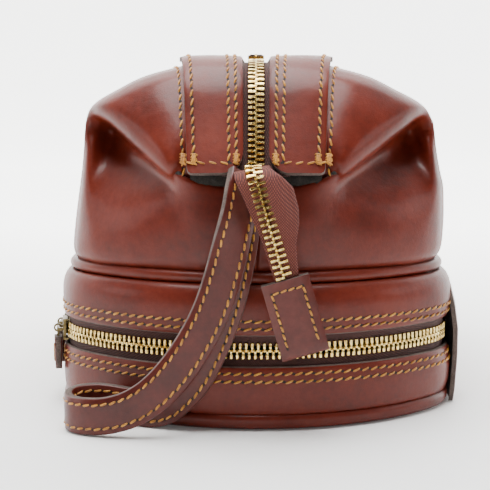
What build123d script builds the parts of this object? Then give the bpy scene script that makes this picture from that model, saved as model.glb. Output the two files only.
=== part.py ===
from build123d import *
from math import atan2, cos, degrees, hypot, radians, sin, sqrt, tan
import os

# Leather shaving kit bag: a zipped tray below, a framed bag above it, joined along the right side.
# Millimetres. X is the width, Y the length, Z up. The origin is on the base, under the middle of the bag.
# The near end, at -Y, carries the wrist strap and the loose tail of the top zip.

# ---- Plan of the bag: two straight sides, bowed ends, round corners
half_width = 77.5
half_length = 127.5
near_y = -half_length  # foremost point of the near end; what hangs there is placed from it
end_bow_radius = 95.0
corner_radius = 32.0

# ---- Sheet materials
leather = 1.8
lining = 0.8
board = 2.0
tape = 0.5
gap = 0.1  # between two pieces that lie on each other

# ---- Heights of the lower compartment
base_height = 6.0
base_inset = 0.6
base_fillet = 4.0
zip_z = 30.0
leather_gap = 11.6  # opening between the two leather edges that the chain shows in
lid_top_z = 54.2
lid_fillet = 5.0
lid_lip_inset = 9.0  # the lid leather turns in this far under the piping

# ---- Upper bag
piping_radius = 2.3
piping_inset = 5.8
body_inset = 4.6
body_wall_top_z = 84.0
body_lining_inset = 8.3
body_lining_top_z = 82.0
end_panel_half = 46.0  # half the width of the soft panel in each end
end_panel_low_z = 72.0
end_panel_top_z = 90.0
shoulder_leather = 1.5
shoulder_half = half_length - 47.5
shoulder_profile = [  # from the wall, over the shoulder, to the edge under the band
    (72.9, 84.5), (71.6, 95.0), (68.6, 109.0), (66.6, 115.0), (63.6, 119.2),
    (58.6, 122.8), (47.0, 129.2), (35.0, 133.8), (23.8, 135.4),
]
gusset_y = half_length - 20.5
gusset_profile = [  # the same points at the tucked end
    (49.6, 84.5), (50.0, 90.0), (49.2, 96.0), (47.4, 101.5), (44.6, 106.5),
    (41.0, 110.6), (36.0, 114.4), (30.2, 117.6), (23.8, 119.6),
]

# ---- Mouth: two leather bands on a hinged steel frame
mouth_top_z = 138.0
mouth_straight_half = half_length - 39.5
mouth_turn_radius = 28.0
mouth_turn = 62.0  # degrees from the level top to the sloping ends
mouth_arm = 31.3
band_width = 24.0
band_leather = 2.0
mouth_gap = 11.0  # between the two bands, where the chain shows
frame_width = 8.0
frame_steel = 1.2
frame_from_x = 14.6
arm_y = half_length - 9.3  # outer face of the left arms; the right arms lie inside them
arm_step = 1.4
pivot_z = 86.0
pivot_radius = 1.5
pivot_fit = 0.05
pivot_eye = 4.0

# ---- Zip chain, the same for both zips
pitch = 2.45
tooth_width = 1.0
tooth_thickness = 2.6
chain_half_width = 2.8
tooth_overlap = 0.45  # how far a tooth reaches past the middle of the chain
tape_edge = chain_half_width + 0.05
tape_width = 11.6

# ---- Sliders and their pulls
slider_length = 10.0
slider_width = 8.4
slider_plate = 1.0
slider_play = 0.55  # between the teeth and each plate
slider_slit = 1.8  # opening for the tape
slider_flange = 0.7
wedge_length = 2.4
wedge_width = 2.0
bail_bar = 1.0
bail_length = 7.6
eye_inner = 1.05
eye_outer = 1.75
eye_thickness = 0.9
shank_length = 3.4
shank_width = 1.6
pull_length = 13.5
pull_width = 8.5
pull_thickness = 3.2
side_slider_y = near_y + 58.0
corner_slider_angle = 10.0  # degrees round the near left corner
top_slider_y = half_length - 47.5

# ---- Back panel, in two halves, that hinges the lid to the tray
panel_gap = 0.5
panel_low_z = 0.4
panel_top_z = 52.0
wall_under_panel = 8.0

# ---- Tail of the top zip, from the mouth down to its tab
tail_path = [
    (near_y - 0.7, 97.6), (near_y - 6.1, 97.2), (near_y - 10.1, 93.2),
    (near_y - 11.7, 83.0), (near_y - 12.3, 64.0), (near_y - 12.3, 57.0),
]
tail_lean = 16.0
tail_root_x = -1.0
tail_tape_half = 8.0
tab_size = (17.0, 4.0, 26.0)
tab_slot = (16.4, 0.7, 14.0)

# ---- Wrist strap: a loop of two leather layers, hung on a stud
strap_width = 13.5
strap_layer = 1.6
strap_stud = (-6.0, 86.0)
stud_radius = 2.0
stud_base_radius = 4.0
strap_plan = [  # middle of the loop seen from above: front run, turn, back run
    (1.5, near_y - 5.7), (-13.0, near_y - 6.4), (-25.0, near_y - 8.5), (-40.0, near_y - 9.7),
    (-54.0, near_y - 8.5), (-65.0, near_y - 4.5), (-68.5, near_y + 1.5), (-63.5, near_y + 7.1),
    (-53.0, near_y + 6.9), (-40.0, near_y + 2.9), (-25.0, near_y - 0.3), (-13.0, near_y - 1.5),
    (1.5, near_y - 1.8),
]
strap_fall = [  # middle of both runs seen from the near end
    (-6.0, 86.0), (-13.0, 60.0), (-21.5, 38.0), (-32.0, 23.2), (-44.0, 13.2), (-58.0, 8.6), (-76.0, 8.0),
]

# ---- Worked out from the driving dimensions
bow_y = half_length - end_bow_radius
corner_x = half_width - corner_radius
corner_y = bow_y + sqrt((end_bow_radius - corner_radius) ** 2 - corner_x**2)
corner_angle = degrees(atan2(corner_y - bow_y, corner_x))
tray_edge_z = zip_z - leather_gap / 2
lid_edge_z = zip_z + leather_gap / 2
chain_inset = leather + gap / 2 + tape / 2
piping_z = lid_top_z + gap + piping_radius
body_low_z = piping_z + piping_radius + gap
lining_inset = leather + tape + 2 * gap
hinge_x = half_width + leather + 0.3
band_from_x = mouth_gap / 2
chain_depth = band_leather + gap + tape / 2
plate_in = tooth_thickness / 2 + slider_play
plate_out = plate_in + slider_plate
pull_axis_out = plate_out + eye_outer + 0.25

os.makedirs("parts", exist_ok=True)


# ---------------------------------------------------------------- shared shapes
def on_bow(inset, side, end):
    """Point where a corner arc meets the bow of an end."""
    share = (end_bow_radius - inset) / (end_bow_radius - corner_radius)
    return (side * share * corner_x, end * (bow_y + share * (corner_y - bow_y)))


def corner_arc(inset, side, end):
    """Corner arc from the straight side to the bow: its start, middle and end."""
    radius = corner_radius - inset
    half_turn = radians(corner_angle / 2)
    middle_x = side * (corner_x + radius * cos(half_turn))
    middle_y = end * (corner_y + radius * sin(half_turn))
    return (side * (half_width - inset), end * corner_y), (middle_x, middle_y), on_bow(inset, side, end)


def plan_edges(inset, reach):
    """Near end, left side and far end of the outline, from right to right, at height zero."""
    near_right, near_left = corner_arc(inset, 1, -1), corner_arc(inset, -1, -1)
    far_left, far_right = corner_arc(inset, -1, 1), corner_arc(inset, 1, 1)
    right_x = half_width - inset
    return [
        Line((right_x, -reach), near_right[0]),
        ThreePointArc(*near_right),
        ThreePointArc(near_right[2], (0, inset - half_length), near_left[2]),
        ThreePointArc(near_left[2], near_left[1], near_left[0]),
        Line(near_left[0], far_left[0]),
        ThreePointArc(*far_left),
        ThreePointArc(far_left[2], (0, half_length - inset), far_right[2]),
        ThreePointArc(far_right[2], far_right[1], far_right[0]),
        Line(far_right[0], (right_x, reach)),
    ]


def outline(inset):
    """Closed plan outline, moved in by inset."""
    right_x = half_width - inset
    return Wire([*plan_edges(inset, 20), Line((right_x, 20), (right_x, -20))])


def slab(inset, low, high):
    """Plate of the plan outline between two heights."""
    return Pos(0, 0, low) * extrude(Face(outline(inset)), amount=high - low, dir=(0, 0, 1))


def ring(outside, inside, low, high):
    """Upright wall between two insets of the plan outline."""
    return slab(outside, low, high) - slab(inside, low - 1, high + 1)


def block(low, high):
    """Box from its lowest to its highest corner."""
    centre = [(a + b) / 2 for a, b in zip(low, high)]
    return Pos(*centre) * Box(*[b - a for a, b in zip(low, high)])


def polygon(plane, points):
    """Flat face with straight edges on a plane."""
    corners = [plane.from_local_coords((*point, 0)) for point in points]
    return Face(Wire(Polyline(*corners, close=True)))


def thick_line(points, thickness):
    """Corner points of a strip of even thickness on the left of a broken line."""
    count = len(points)
    inner = []
    for n in range(count):
        before, after = points[max(n - 1, 0)], points[min(n + 1, count - 1)]
        length = hypot(after[0] - before[0], after[1] - before[1])
        shift_x = -(after[1] - before[1]) / length * thickness
        shift_y = (after[0] - before[0]) / length * thickness
        inner.append((points[n][0] + shift_x, points[n][1] + shift_y))
    return points + inner[::-1]


def along(line, first, last, step):
    """Places and directions at equal steps along a line."""
    count = int((last - first) / step + 1e-6) + 1
    spots = [first + step * n for n in range(count)]
    mode = PositionMode.LENGTH
    return [(line.position_at(s, position_mode=mode), line.tangent_at(s, position_mode=mode)) for s in spots]


def tooth(place, direction, toward):
    """One tooth: it points toward the other row and lies across the direction of the chain."""
    length = chain_half_width + tooth_overlap
    seat = Plane(origin=place, x_dir=direction, z_dir=direction.cross(toward))
    return seat.location * Pos(0, tooth_overlap - length / 2, 0) * Box(tooth_width, length, tooth_thickness)


def teeth_row(line, first, last, toward, keep):
    """Row of teeth along a line, each kept if its place passes the test."""
    spots = along(line, first, last, pitch)
    return Compound(children=[tooth(at, way, toward) for at, way in spots if keep(at)])


def hinge_window(low, high):
    """Space on the right side that the back panel fills instead of the wall."""
    reach = corner_y - wall_under_panel
    return block((corner_x, -reach, low), (half_width + 5, reach, high))


# ---------------------------------------------------------------- lower compartment: tray
def base_panel():
    """Leather base, turned up all round to the seam with the tray wall."""
    outside = slab(base_inset, 0, base_height)
    outside = fillet(outside.faces().sort_by(Axis.Z)[0].edges(), base_fillet)
    inside = slab(base_inset + leather, leather, base_height + 1)
    inside = fillet(inside.faces().sort_by(Axis.Z)[0].edges(), base_fillet - leather)
    return outside - inside


def base_board():
    """Stiffener that lies in the base."""
    low = leather + gap
    return slab(base_inset + base_fillet + gap, low, low + board)


def tray_wall():
    """Leather gusset of the tray, open where the back panel stands."""
    return ring(0, leather, base_height, tray_edge_z) - hinge_window(0, zip_z)


def tray_lining():
    """Cloth cup that lines the tray."""
    floor_z = leather + board + 2 * gap
    step_z = base_height + gap
    floor_inset = base_inset + base_fillet
    cup = slab(lining_inset, step_z, tray_edge_z - 1) + slab(floor_inset, floor_z, step_z)
    cup -= slab(lining_inset + lining, step_z + lining, tray_edge_z)
    return cup - slab(floor_inset + lining, floor_z + lining, tray_edge_z)


def side_tape(low, high):
    """Zip tape behind the edge of a wall, round three sides."""
    inner = leather + gap / 2 + tape
    return ring(leather + gap / 2, inner, low, high) - hinge_window(low - 1, high + 1)


def clear_of_wedges(place):
    """True where the two rows run together, false between the wedges of the two lower sliders."""
    high = side_slider_y - slider_length / 2 + wedge_length + 0.8
    low = -corner_y - 4.5
    return place.X > 0 or not low < place.Y < high


def side_teeth(upper):
    """One row of the lower zip, round three sides."""
    line = Pos(0, 0, zip_z) * Wire(plan_edges(chain_inset, corner_y - 2))
    first = 1.0 + (pitch / 2 if upper else 0.0)
    toward = Vector(0, 0, -1 if upper else 1)
    return teeth_row(line, first, line.length - 1, toward, clear_of_wedges)


def back_panel(low, high):
    """Half of the leather panel on the right side; the other half is across the hinge line."""
    reach = corner_y
    return block((half_width + gap, -reach, low), (half_width + gap + leather, reach, high))


# ---------------------------------------------------------------- lower compartment: lid
def lid_wall():
    """Leather wall above the zip, turned in at its top."""
    outside = slab(0, lid_edge_z, lid_top_z)
    outside = fillet(outside.faces().sort_by(Axis.Z)[-1].edges(), lid_fillet)
    inside = slab(leather, lid_edge_z - 1, lid_top_z - leather)
    inside = fillet(inside.faces().sort_by(Axis.Z)[-1].edges(), lid_fillet - leather)
    wall = outside - inside - slab(lid_lip_inset, lid_top_z - 6, lid_top_z + 1)
    return wall - hinge_window(lid_edge_z - 1, lid_top_z - lid_fillet)


def lid_lining():
    """Cloth that lines the lid and covers the divider from below."""
    high = lid_top_z - leather - gap
    outside = slab(lining_inset, lid_edge_z + 1, high)
    outside = fillet(outside.faces().sort_by(Axis.Z)[-1].edges(), 3.0)
    inside = slab(lining_inset + lining, lid_edge_z, high - lining)
    return outside - fillet(inside.faces().sort_by(Axis.Z)[-1].edges(), 3.0 - lining)


def divider_board():
    """Stiff floor between the two compartments, level with the turned-in lid leather."""
    return slab(lid_lip_inset + gap, lid_top_z - leather, lid_top_z)


# ---------------------------------------------------------------- upper bag
def middle_piping():
    """Round leather bead between the lid and the upper walls."""
    line = Pos(0, 0, piping_z) * outline(piping_inset)
    seat = Plane(origin=line @ 0, z_dir=line % 0)
    return sweep(seat * Circle(piping_radius), path=line)


def end_window(low, high, half):
    """Space of the soft panels in the two ends."""
    return block((-half, -half_length, low), (half, half_length, high))


def body_wall():
    """Upright leather wall above the piping, lower in the middle of the ends."""
    wall = ring(body_inset, body_inset + leather, body_low_z, body_wall_top_z)
    return wall - end_window(end_panel_low_z, body_wall_top_z + 1, end_panel_half)


def end_panel(end):
    """Soft leather panel in one end, up to its lip under the mouth."""
    low = end_panel_low_z + gap
    window = end_window(low, end_panel_top_z, end_panel_half - gap)
    half_space = block((-99, min(0, end * 200), 0), (99, max(0, end * 200), 200))
    return ring(body_inset, body_inset + leather, low, end_panel_top_z) & window & half_space


def shoulder(side):
    """Soft roof of one side, from the wall to the edge that the band covers."""
    points = [(side * x, z) for x, z in thick_line(shoulder_profile, shoulder_leather)]
    face = polygon(Plane(origin=(0, -shoulder_half, 0), x_dir=(1, 0, 0), z_dir=(0, -1, 0)), points)
    return extrude(face, amount=2 * shoulder_half, dir=(0, 1, 0))


def gusset(side, end):
    """Soft corner that closes one end of a shoulder and runs in under the mouth."""
    faces = []
    for y, profile in ((shoulder_half + gap, shoulder_profile), (gusset_y, gusset_profile)):
        points = [(side * x, z) for x, z in thick_line(profile, shoulder_leather)]
        faces.append(polygon(Plane(origin=(0, end * y, 0), x_dir=(1, 0, 0), z_dir=(0, -1, 0)), points))
    return loft(faces, ruled=True)


def body_lining():
    """Cloth cup of the upper compartment."""
    low = lid_top_z + gap
    outside = slab(body_lining_inset, low, body_lining_top_z)
    return outside - slab(body_lining_inset + lining, low + lining, body_lining_top_z + 1)


def pivot(end):
    """Rivet that joins the two halves of the frame at one end."""
    start = half_length - body_inset - leather - gap
    spans = [
        (pivot_radius, start, arm_y - 2 * arm_step - 0.8),
        (2 * pivot_radius, start, arm_y + 0.2),
        (2 * pivot_radius, arm_y - 2 * arm_step, arm_y - 2 * arm_step - 0.8),
    ]
    rods = [rod(radius, (0, pivot_z), end * a, end * b) for radius, a, b in spans]
    return rods[0] + rods[1] + rods[2]


def rod(radius, centre, start_y, end_y):
    """Round rod along Y at a place in X and Z."""
    seat = Plane(origin=(centre[0], min(start_y, end_y), centre[1]), x_dir=(1, 0, 0), z_dir=(0, 1, 0))
    return extrude(Face(Wire(Edge.make_circle(radius, seat))), amount=abs(end_y - start_y), dir=(0, 1, 0))


# ---------------------------------------------------------------- mouth
def mouth_side(depth, arm, end):
    """Points of one end of the mouth line in Y and Z: arc start, arc middle, arc end, tip."""
    radius = mouth_turn_radius - depth
    centre_z = mouth_top_z - mouth_turn_radius
    turn = radians(mouth_turn)
    angles = (0, turn / 2, turn)
    arc = [(mouth_straight_half + radius * sin(a), centre_z + radius * cos(a)) for a in angles]
    tip = (arc[2][0] + arm * cos(turn), arc[2][1] - arm * sin(turn))
    return [(0, end * y, z) for y, z in (*arc, tip)]


def mouth_edges(depth, arm=mouth_arm):
    """Line of the mouth from the near end, over the top, to the far end."""
    near, far = mouth_side(depth, arm, -1), mouth_side(depth, arm, 1)
    return [
        Line(near[3], near[2]),
        ThreePointArc(near[2], near[1], near[0]),
        Line(near[0], far[0]),
        ThreePointArc(far[0], far[1], far[2]),
        Line(far[2], far[3]),
    ]


def mouth_strip(depths, spans, arm=mouth_arm):
    """Strip that follows the mouth, between two depths and two distances from the middle."""
    outer, inner = mouth_edges(depths[0], arm), mouth_edges(depths[1], arm)
    caps = [Line(outer[0] @ 0, inner[0] @ 0), Line(outer[4] @ 1, inner[4] @ 1)]
    face = Face(Wire([*outer, *inner, *caps]))
    return Pos(spans[0], 0, 0) * extrude(face, amount=spans[1] - spans[0], dir=(1, 0, 0))


def band():
    """Leather band of the right half of the mouth."""
    return mouth_strip((0, band_leather), (band_from_x, band_from_x + band_width))


def band_facing():
    """Cloth that covers the frame from inside."""
    low = band_leather + 2 * gap + tape + frame_steel + gap
    return mouth_strip((low, low + lining), (band_from_x, frame_from_x + frame_width + 0.4), arm=4)


def frame(side):
    """Flat steel bow with an arm down to the pivot at each end."""
    low = band_leather + 2 * gap + tape
    reach = arm_y - (0 if side < 0 else arm_step)
    bow = mouth_strip((low, low + frame_steel), (frame_from_x, frame_from_x + frame_width))
    bow &= block((0, -reach, 0), (99, reach, 200))
    top_z = mouth_top_z - mouth_turn_radius - 3.6 + (arm_y - reach) * tan(radians(mouth_turn))
    shape = [
        (-2.9, pivot_z + 2.8), (frame_from_x, top_z - 2), (frame_from_x, top_z),
        (frame_from_x + frame_width, top_z), (frame_from_x + frame_width, top_z - 5), (2.9, pivot_z - 2.8),
    ]
    for end in (-1, 1):
        seat = Plane(origin=(0, end * reach, 0), x_dir=(1, 0, 0), z_dir=(0, -1, 0))
        arm = extrude(polygon(seat, shape), amount=frame_steel, dir=(0, -end, 0))
        bow += arm + rod(pivot_eye, (0, pivot_z), end * reach, end * (reach - frame_steel))
    bow -= rod(pivot_radius + pivot_fit, (0, pivot_z), -half_length, half_length)
    return bow


def mouth_tape():
    """Zip tape under the inner edge of the band."""
    low = band_leather + gap
    return mouth_strip((low, low + tape), (tape_edge, tape_edge + tape_width))


def mouth_teeth(left):
    """One row of the top zip, from the near end of the mouth to the slider."""
    line = Wire(mouth_edges(chain_depth))
    first = 0.8 + (0 if left else pitch / 2)
    stop_y = top_slider_y + slider_length / 2 - wedge_length - 0.8
    toward = Vector(1 if left else -1, 0, 0)
    return teeth_row(line, first, line.length / 2 + stop_y, toward, lambda place: place.Y < stop_y)


# ---------------------------------------------------------------- sliders and pulls
def slider(bail_across):
    """Slider on a chain: X is the way it travels to open, Y runs across the chain, Z points outward."""
    half_length_of_slider = slider_length / 2
    low_corner = (-half_length_of_slider, -slider_width / 2, plate_in)
    body = block(low_corner, (half_length_of_slider, slider_width / 2, plate_out))
    body += mirror(body, about=Plane.XY)
    flange_low = slider_width / 2 - slider_flange
    for side in (-1, 1):
        for face in (-1, 1):
            low = (-slider_length / 2, min(side * flange_low, side * slider_width / 2),
                   min(face * slider_slit / 2, face * (plate_in + 0.1)))
            high = (slider_length / 2 - wedge_length, max(side * flange_low, side * slider_width / 2),
                    max(face * slider_slit / 2, face * (plate_in + 0.1)))
            body += block(low, high)
    front = slider_length / 2
    body += block((front - wedge_length, -wedge_width / 2, -plate_out), (front, wedge_width / 2, plate_out))
    bar_out = pull_axis_out + bail_bar / 2
    bail_low = (-bail_length / 2, -bail_bar / 2, pull_axis_out - bail_bar / 2)
    bail = block(bail_low, (bail_length / 2, bail_bar / 2, bar_out))
    for end in (-1, 1):
        post_x = end * (bail_length - bail_bar) / 2
        post = Box(bail_bar, bail_bar, bar_out - plate_out + 0.2)
        bail += Pos(post_x, 0, (plate_out + bar_out) / 2 - 0.1) * post
    return body + Rot(0, 0, 90 if bail_across else 0) * bail


def pull_link():
    """Metal link: an eye round the bail along X, and a shank that hangs toward -Y with a cross bar."""
    seat = Plane(origin=(-eye_thickness / 2, 0, 0), x_dir=(0, 1, 0), z_dir=(1, 0, 0))
    eye = extrude(Face(Wire(Edge.make_circle(eye_outer, seat))), amount=eye_thickness, dir=(1, 0, 0))
    shank_low = (-eye_thickness / 2, -eye_outer - shank_length, -0.45)
    shank = block(shank_low, (eye_thickness / 2, -eye_outer + 0.5, 0.45))
    hole = extrude(Face(Wire(Edge.make_circle(eye_inner, seat))), amount=eye_thickness, dir=(1, 0, 0))
    bar_y = -eye_outer - shank_length
    bar = block((-pull_width / 2 + 1.2, bar_y - 0.6, -0.6), (pull_width / 2 - 1.2, bar_y + 0.6, 0.6))
    return eye + shank - hole + bar


def pull_leather():
    """Leather tab folded round the cross bar of the link."""
    bar_y = -eye_outer - shank_length
    top_y = bar_y + 1.8
    tab_low = (-pull_width / 2, top_y - pull_length, -pull_thickness / 2)
    tab = block(tab_low, (pull_width / 2, top_y, pull_thickness / 2))
    slot = block((-eye_thickness / 2 - 0.1, bar_y - 0.7, -0.7), (eye_thickness / 2 + 0.1, top_y + 1, 0.7))
    bar_room = block((-pull_width / 2 + 1.1, bar_y - 0.7, -0.7), (pull_width / 2 - 1.1, bar_y + 0.7, 0.7))
    return tab - slot - bar_room


def slider_seats():
    """Places of the three sliders: far side slider, near corner slider, top slider."""
    chain_x = half_width - chain_inset
    side = Plane(origin=(-chain_x, side_slider_y, zip_z), x_dir=(0, -1, 0), z_dir=(-1, 0, 0))
    turn = radians(corner_slider_angle)
    radius = corner_radius - chain_inset
    place = (-corner_x - radius * cos(turn), -corner_y - radius * sin(turn), zip_z)
    outward = (-cos(turn), -sin(turn), 0)
    corner = Plane(origin=place, x_dir=(-sin(turn), cos(turn), 0), z_dir=outward)
    top = Plane(origin=(0, top_slider_y, mouth_top_z - chain_depth), x_dir=(0, 1, 0), z_dir=(0, 0, 1))
    return {"side": side, "corner": corner, "top": top}


def pull_seat(plane, name):
    """Frame of the pull on its slider: the eye axis along X, the pull toward -Y."""
    axis = plane.offset(pull_axis_out)
    if name == "top":
        return Plane(origin=axis.origin, x_dir=(1, 0, 0), z_dir=(0, 0, -1))
    return Plane(origin=axis.origin, x_dir=Vector(0, 0, 1).cross(axis.z_dir), z_dir=axis.z_dir)


# ---------------------------------------------------------------- tail of the top zip
def lean(shape):
    """Leans an upright tail piece to the right about its root."""
    root = Pos(tail_root_x, 0, tail_path[0][1])
    return root * Rot(0, -tail_lean, 0) * Pos(0, 0, -tail_path[0][1]) * shape


def tail_tape():
    """The two tapes of the tail, one on each side of the teeth."""
    points = thick_line([*tail_path, (tail_path[-1][0], tail_path[-1][1] - 10)], tape)
    face = polygon(Plane.YZ, points)
    side = extrude(face, amount=tail_tape_half - tape_edge, dir=(1, 0, 0))
    return Compound(children=[lean(Pos(x, 0, 0) * side) for x in (tape_edge, -tail_tape_half)])


def tail_teeth():
    """Both rows of teeth of the tail, closed."""
    middle = thick_line(tail_path, tape / 2)[len(tail_path):][::-1]
    line = Wire(Spline(*[(0, y, z) for y, z in middle]))
    pieces = []
    for side in (-1, 1):
        first = 0.8 if side < 0 else 0.8 + pitch / 2
        for place, way in along(line, first, line.length - 1.2, pitch):
            seat = Plane(origin=place, x_dir=way, z_dir=way.cross(Vector(side, 0, 0)))
            length = chain_half_width - 0.1
            tooth = Box(tooth_width, length, tooth_thickness)
            pieces.append(seat.location * Pos(0, 0.1 + length / 2, 0) * tooth)
    return Compound(children=[lean(piece) for piece in pieces])


def tail_tab():
    """Folded leather tab at the end of the tail, with the tapes in its slot."""
    middle_y = tail_path[-1][0] + tape / 2
    low = tail_path[-1][1] - tab_size[2]
    half_x, half_y = tab_size[0] / 2, tab_size[1] / 2
    tab = block((-half_x, middle_y - half_y, low), (half_x, middle_y + half_y, low + tab_size[2]))
    slot = block((-tab_slot[0] / 2, middle_y - tab_slot[1] / 2, low + tab_size[2] - tab_slot[2]),
                 (tab_slot[0] / 2, middle_y + tab_slot[1] / 2, low + tab_size[2] + 1))
    return lean(tab - slot)


# ---------------------------------------------------------------- wrist strap
def ribbon(points, plane, low, high):
    """Flat ribbon between two distances on the left of a smooth line."""
    middle = Wire(Spline(*[plane.from_local_coords((*point, 0)) for point in points]))
    spots = along(middle, 0, middle.length - 0.001, (middle.length - 0.002) / 48)
    sides = [[at + plane.z_dir.cross(way).normalized() * shift for at, way in spots] for shift in (low, high)]
    edges = [Spline(*sides[0]), Spline(*sides[1])]
    caps = [Line(sides[0][0], sides[1][0]), Line(sides[0][-1], sides[1][-1])]
    return Face(Wire([*edges, *caps]))


def strap_layer_shape(low, high):
    """One layer of the strap: its plan line cut to the outline it shows from the near end."""
    plan = extrude(ribbon(strap_plan, Plane.XY, low, high), amount=110, dir=(0, 0, 1))
    upright = Plane(origin=(0, -150, 0), x_dir=(1, 0, 0), z_dir=(0, -1, 0))
    fall = extrude(ribbon(strap_fall, upright, -strap_width / 2, strap_width / 2), amount=50, dir=(0, 1, 0))
    fall += rod(strap_width / 2, strap_stud, -150, -100)
    return plan & fall


def strap_face():
    """Outer layer of the loop; its front run hides the stud."""
    hole = rod(stud_radius + pivot_fit, strap_stud, -132.9, -100)
    return strap_layer_shape(gap / 2, strap_layer) - hole


def strap_backing():
    """Inner layer of the loop."""
    hole = rod(stud_radius + pivot_fit, strap_stud, -150, -100)
    return strap_layer_shape(-strap_layer, -gap / 2) - hole


def strap_stud_shape():
    """Stud on the end panel that the two ends of the strap turn on."""
    start = body_inset - half_length - gap
    return rod(stud_base_radius, strap_stud, start, start - 1.2) + rod(stud_radius, strap_stud, start, -132.7)


# ---------------------------------------------------------------- all nodes
def nodes():
    """Every node of the bag by name."""
    shapes = {
        "base_panel": base_panel(),
        "base_board": base_board(),
        "tray_wall": tray_wall(),
        "tray_lining": tray_lining(),
        "tray_zip_tape": side_tape(zip_z - tape_edge - tape_width, zip_z - tape_edge),
        "tray_zip_teeth": side_teeth(upper=False),
        "back_panel_lower": back_panel(panel_low_z, zip_z - panel_gap / 2),
        "back_panel_upper": back_panel(zip_z + panel_gap / 2, panel_top_z),
        "lid_wall": lid_wall(),
        "lid_lining": lid_lining(),
        "lid_zip_tape": side_tape(zip_z + tape_edge, zip_z + tape_edge + tape_width),
        "lid_zip_teeth": side_teeth(upper=True),
        "divider_board": divider_board(),
        "middle_piping": middle_piping(),
        "body_wall": body_wall(),
        "body_lining": body_lining(),
        "strap_stud": strap_stud_shape(),
        "strap_face": strap_face(),
        "strap_backing": strap_backing(),
        "tail_tape": tail_tape(),
        "tail_teeth": tail_teeth(),
        "tail_tab": tail_tab(),
    }
    for end_name, end in (("near", -1), ("far", 1)):
        shapes[f"{end_name}_end_panel"] = end_panel(end)
        shapes[f"{end_name}_pivot"] = pivot(end)
        for side_name, side in (("left", -1), ("right", 1)):
            shapes[f"{end_name}_{side_name}_gusset"] = gusset(side, end)
    for side_name, side in (("left", -1), ("right", 1)):
        right_shapes = {
            "band": band(),
            "facing": band_facing(),
            "frame": frame(side),
            "zip_tape": mouth_tape(),
        }
        for name, shape in right_shapes.items():
            shapes[f"{side_name}_{name}"] = shape if side > 0 else mirror(shape, about=Plane.YZ)
        shapes[f"{side_name}_zip_teeth"] = mouth_teeth(left=side < 0)
        shapes[f"{side_name}_shoulder"] = shoulder(side)
    for name, seat in slider_seats().items():
        hang = pull_seat(seat, name)
        shapes[f"{name}_slider"] = seat.location * slider(bail_across=name == "top")
        shapes[f"{name}_pull_link"] = hang.location * pull_link()
        shapes[f"{name}_pull"] = hang.location * pull_leather()
    return shapes


for node_name, node_shape in nodes().items():
    export_step(node_shape, f"parts/{node_name}.step")
    box = node_shape.bounding_box()
    lowest = f"{box.min.X:7.1f} {box.min.Y:7.1f} {box.min.Z:7.1f}"
    highest = f"{box.max.X:7.1f} {box.max.Y:7.1f} {box.max.Z:7.1f}"
    print(f"{node_name:22} {len(node_shape.solids()):4} {node_shape.volume:10.1f}  {lowest}   {highest}")
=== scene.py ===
"""Leather shaving kit bag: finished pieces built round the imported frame.

Lengths in the piece classes are millimetres, and become metres when a mesh is made.
"""

import logging
import math
from dataclasses import dataclass, field
from enum import Enum
from typing import Callable, Iterable, Optional, Sequence, Union

import bpy
import numpy as np
from mathutils import Euler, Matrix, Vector
from mathutils.bvhtree import BVHTree

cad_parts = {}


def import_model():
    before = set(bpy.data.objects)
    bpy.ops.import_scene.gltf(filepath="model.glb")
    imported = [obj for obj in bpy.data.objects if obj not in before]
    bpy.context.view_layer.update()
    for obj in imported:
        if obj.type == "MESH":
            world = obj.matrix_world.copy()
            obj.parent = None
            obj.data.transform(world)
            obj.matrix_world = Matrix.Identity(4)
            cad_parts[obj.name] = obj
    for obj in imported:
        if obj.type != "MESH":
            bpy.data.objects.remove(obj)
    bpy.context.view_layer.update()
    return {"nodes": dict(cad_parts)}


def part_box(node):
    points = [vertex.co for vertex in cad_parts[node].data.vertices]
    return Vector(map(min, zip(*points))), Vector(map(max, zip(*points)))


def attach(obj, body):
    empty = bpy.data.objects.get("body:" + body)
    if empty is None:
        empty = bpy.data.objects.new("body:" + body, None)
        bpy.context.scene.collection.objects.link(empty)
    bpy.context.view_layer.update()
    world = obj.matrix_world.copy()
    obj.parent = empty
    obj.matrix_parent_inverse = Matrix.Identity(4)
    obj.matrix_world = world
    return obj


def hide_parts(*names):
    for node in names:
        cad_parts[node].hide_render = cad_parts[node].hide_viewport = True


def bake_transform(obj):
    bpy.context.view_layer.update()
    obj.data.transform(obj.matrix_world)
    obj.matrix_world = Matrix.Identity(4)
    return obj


log = logging.getLogger("shaving_kit_bag")
Point = tuple[float, float, float]
Socket = bpy.types.NodeSocket
Value = Union[float, Socket]
Slots = Union[int, Sequence[int]]
MM = 0.001


# ------------------------------------------------------------------ colour and shader helpers
def linear(code: str) -> tuple[float, float, float, float]:
    """Turns an sRGB hex code into linear colour.

    Args:
        code: six hex digits, such as "6b2e25".

    Returns:
        Linear red, green and blue, and an alpha of one.
    """
    parts = [int(code[i:i + 2], 16) / 255 for i in (0, 2, 4)]
    values = [c / 12.92 if c <= 0.04045 else ((c + 0.055) / 1.055) ** 2.4 for c in parts]
    return (*values, 1.0)


def add_node(tree: bpy.types.NodeTree, kind: str, inputs: Optional[dict] = None,
             **settings: object) -> bpy.types.Node:
    """Adds one node with its settings and links.

    Args:
        tree: the node tree it goes in.
        kind: the node's type name.
        inputs: socket name or number to a value or to a socket that feeds it.
        **settings: properties of the node itself.

    Returns:
        The new node.
    """
    node = tree.nodes.new(kind)
    for key, value in settings.items():
        setattr(node, key, value)
    for key, value in (inputs or {}).items():
        if isinstance(value, bpy.types.NodeSocket):
            tree.links.new(value, node.inputs[key])
        else:
            node.inputs[key].default_value = value
    return node


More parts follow.
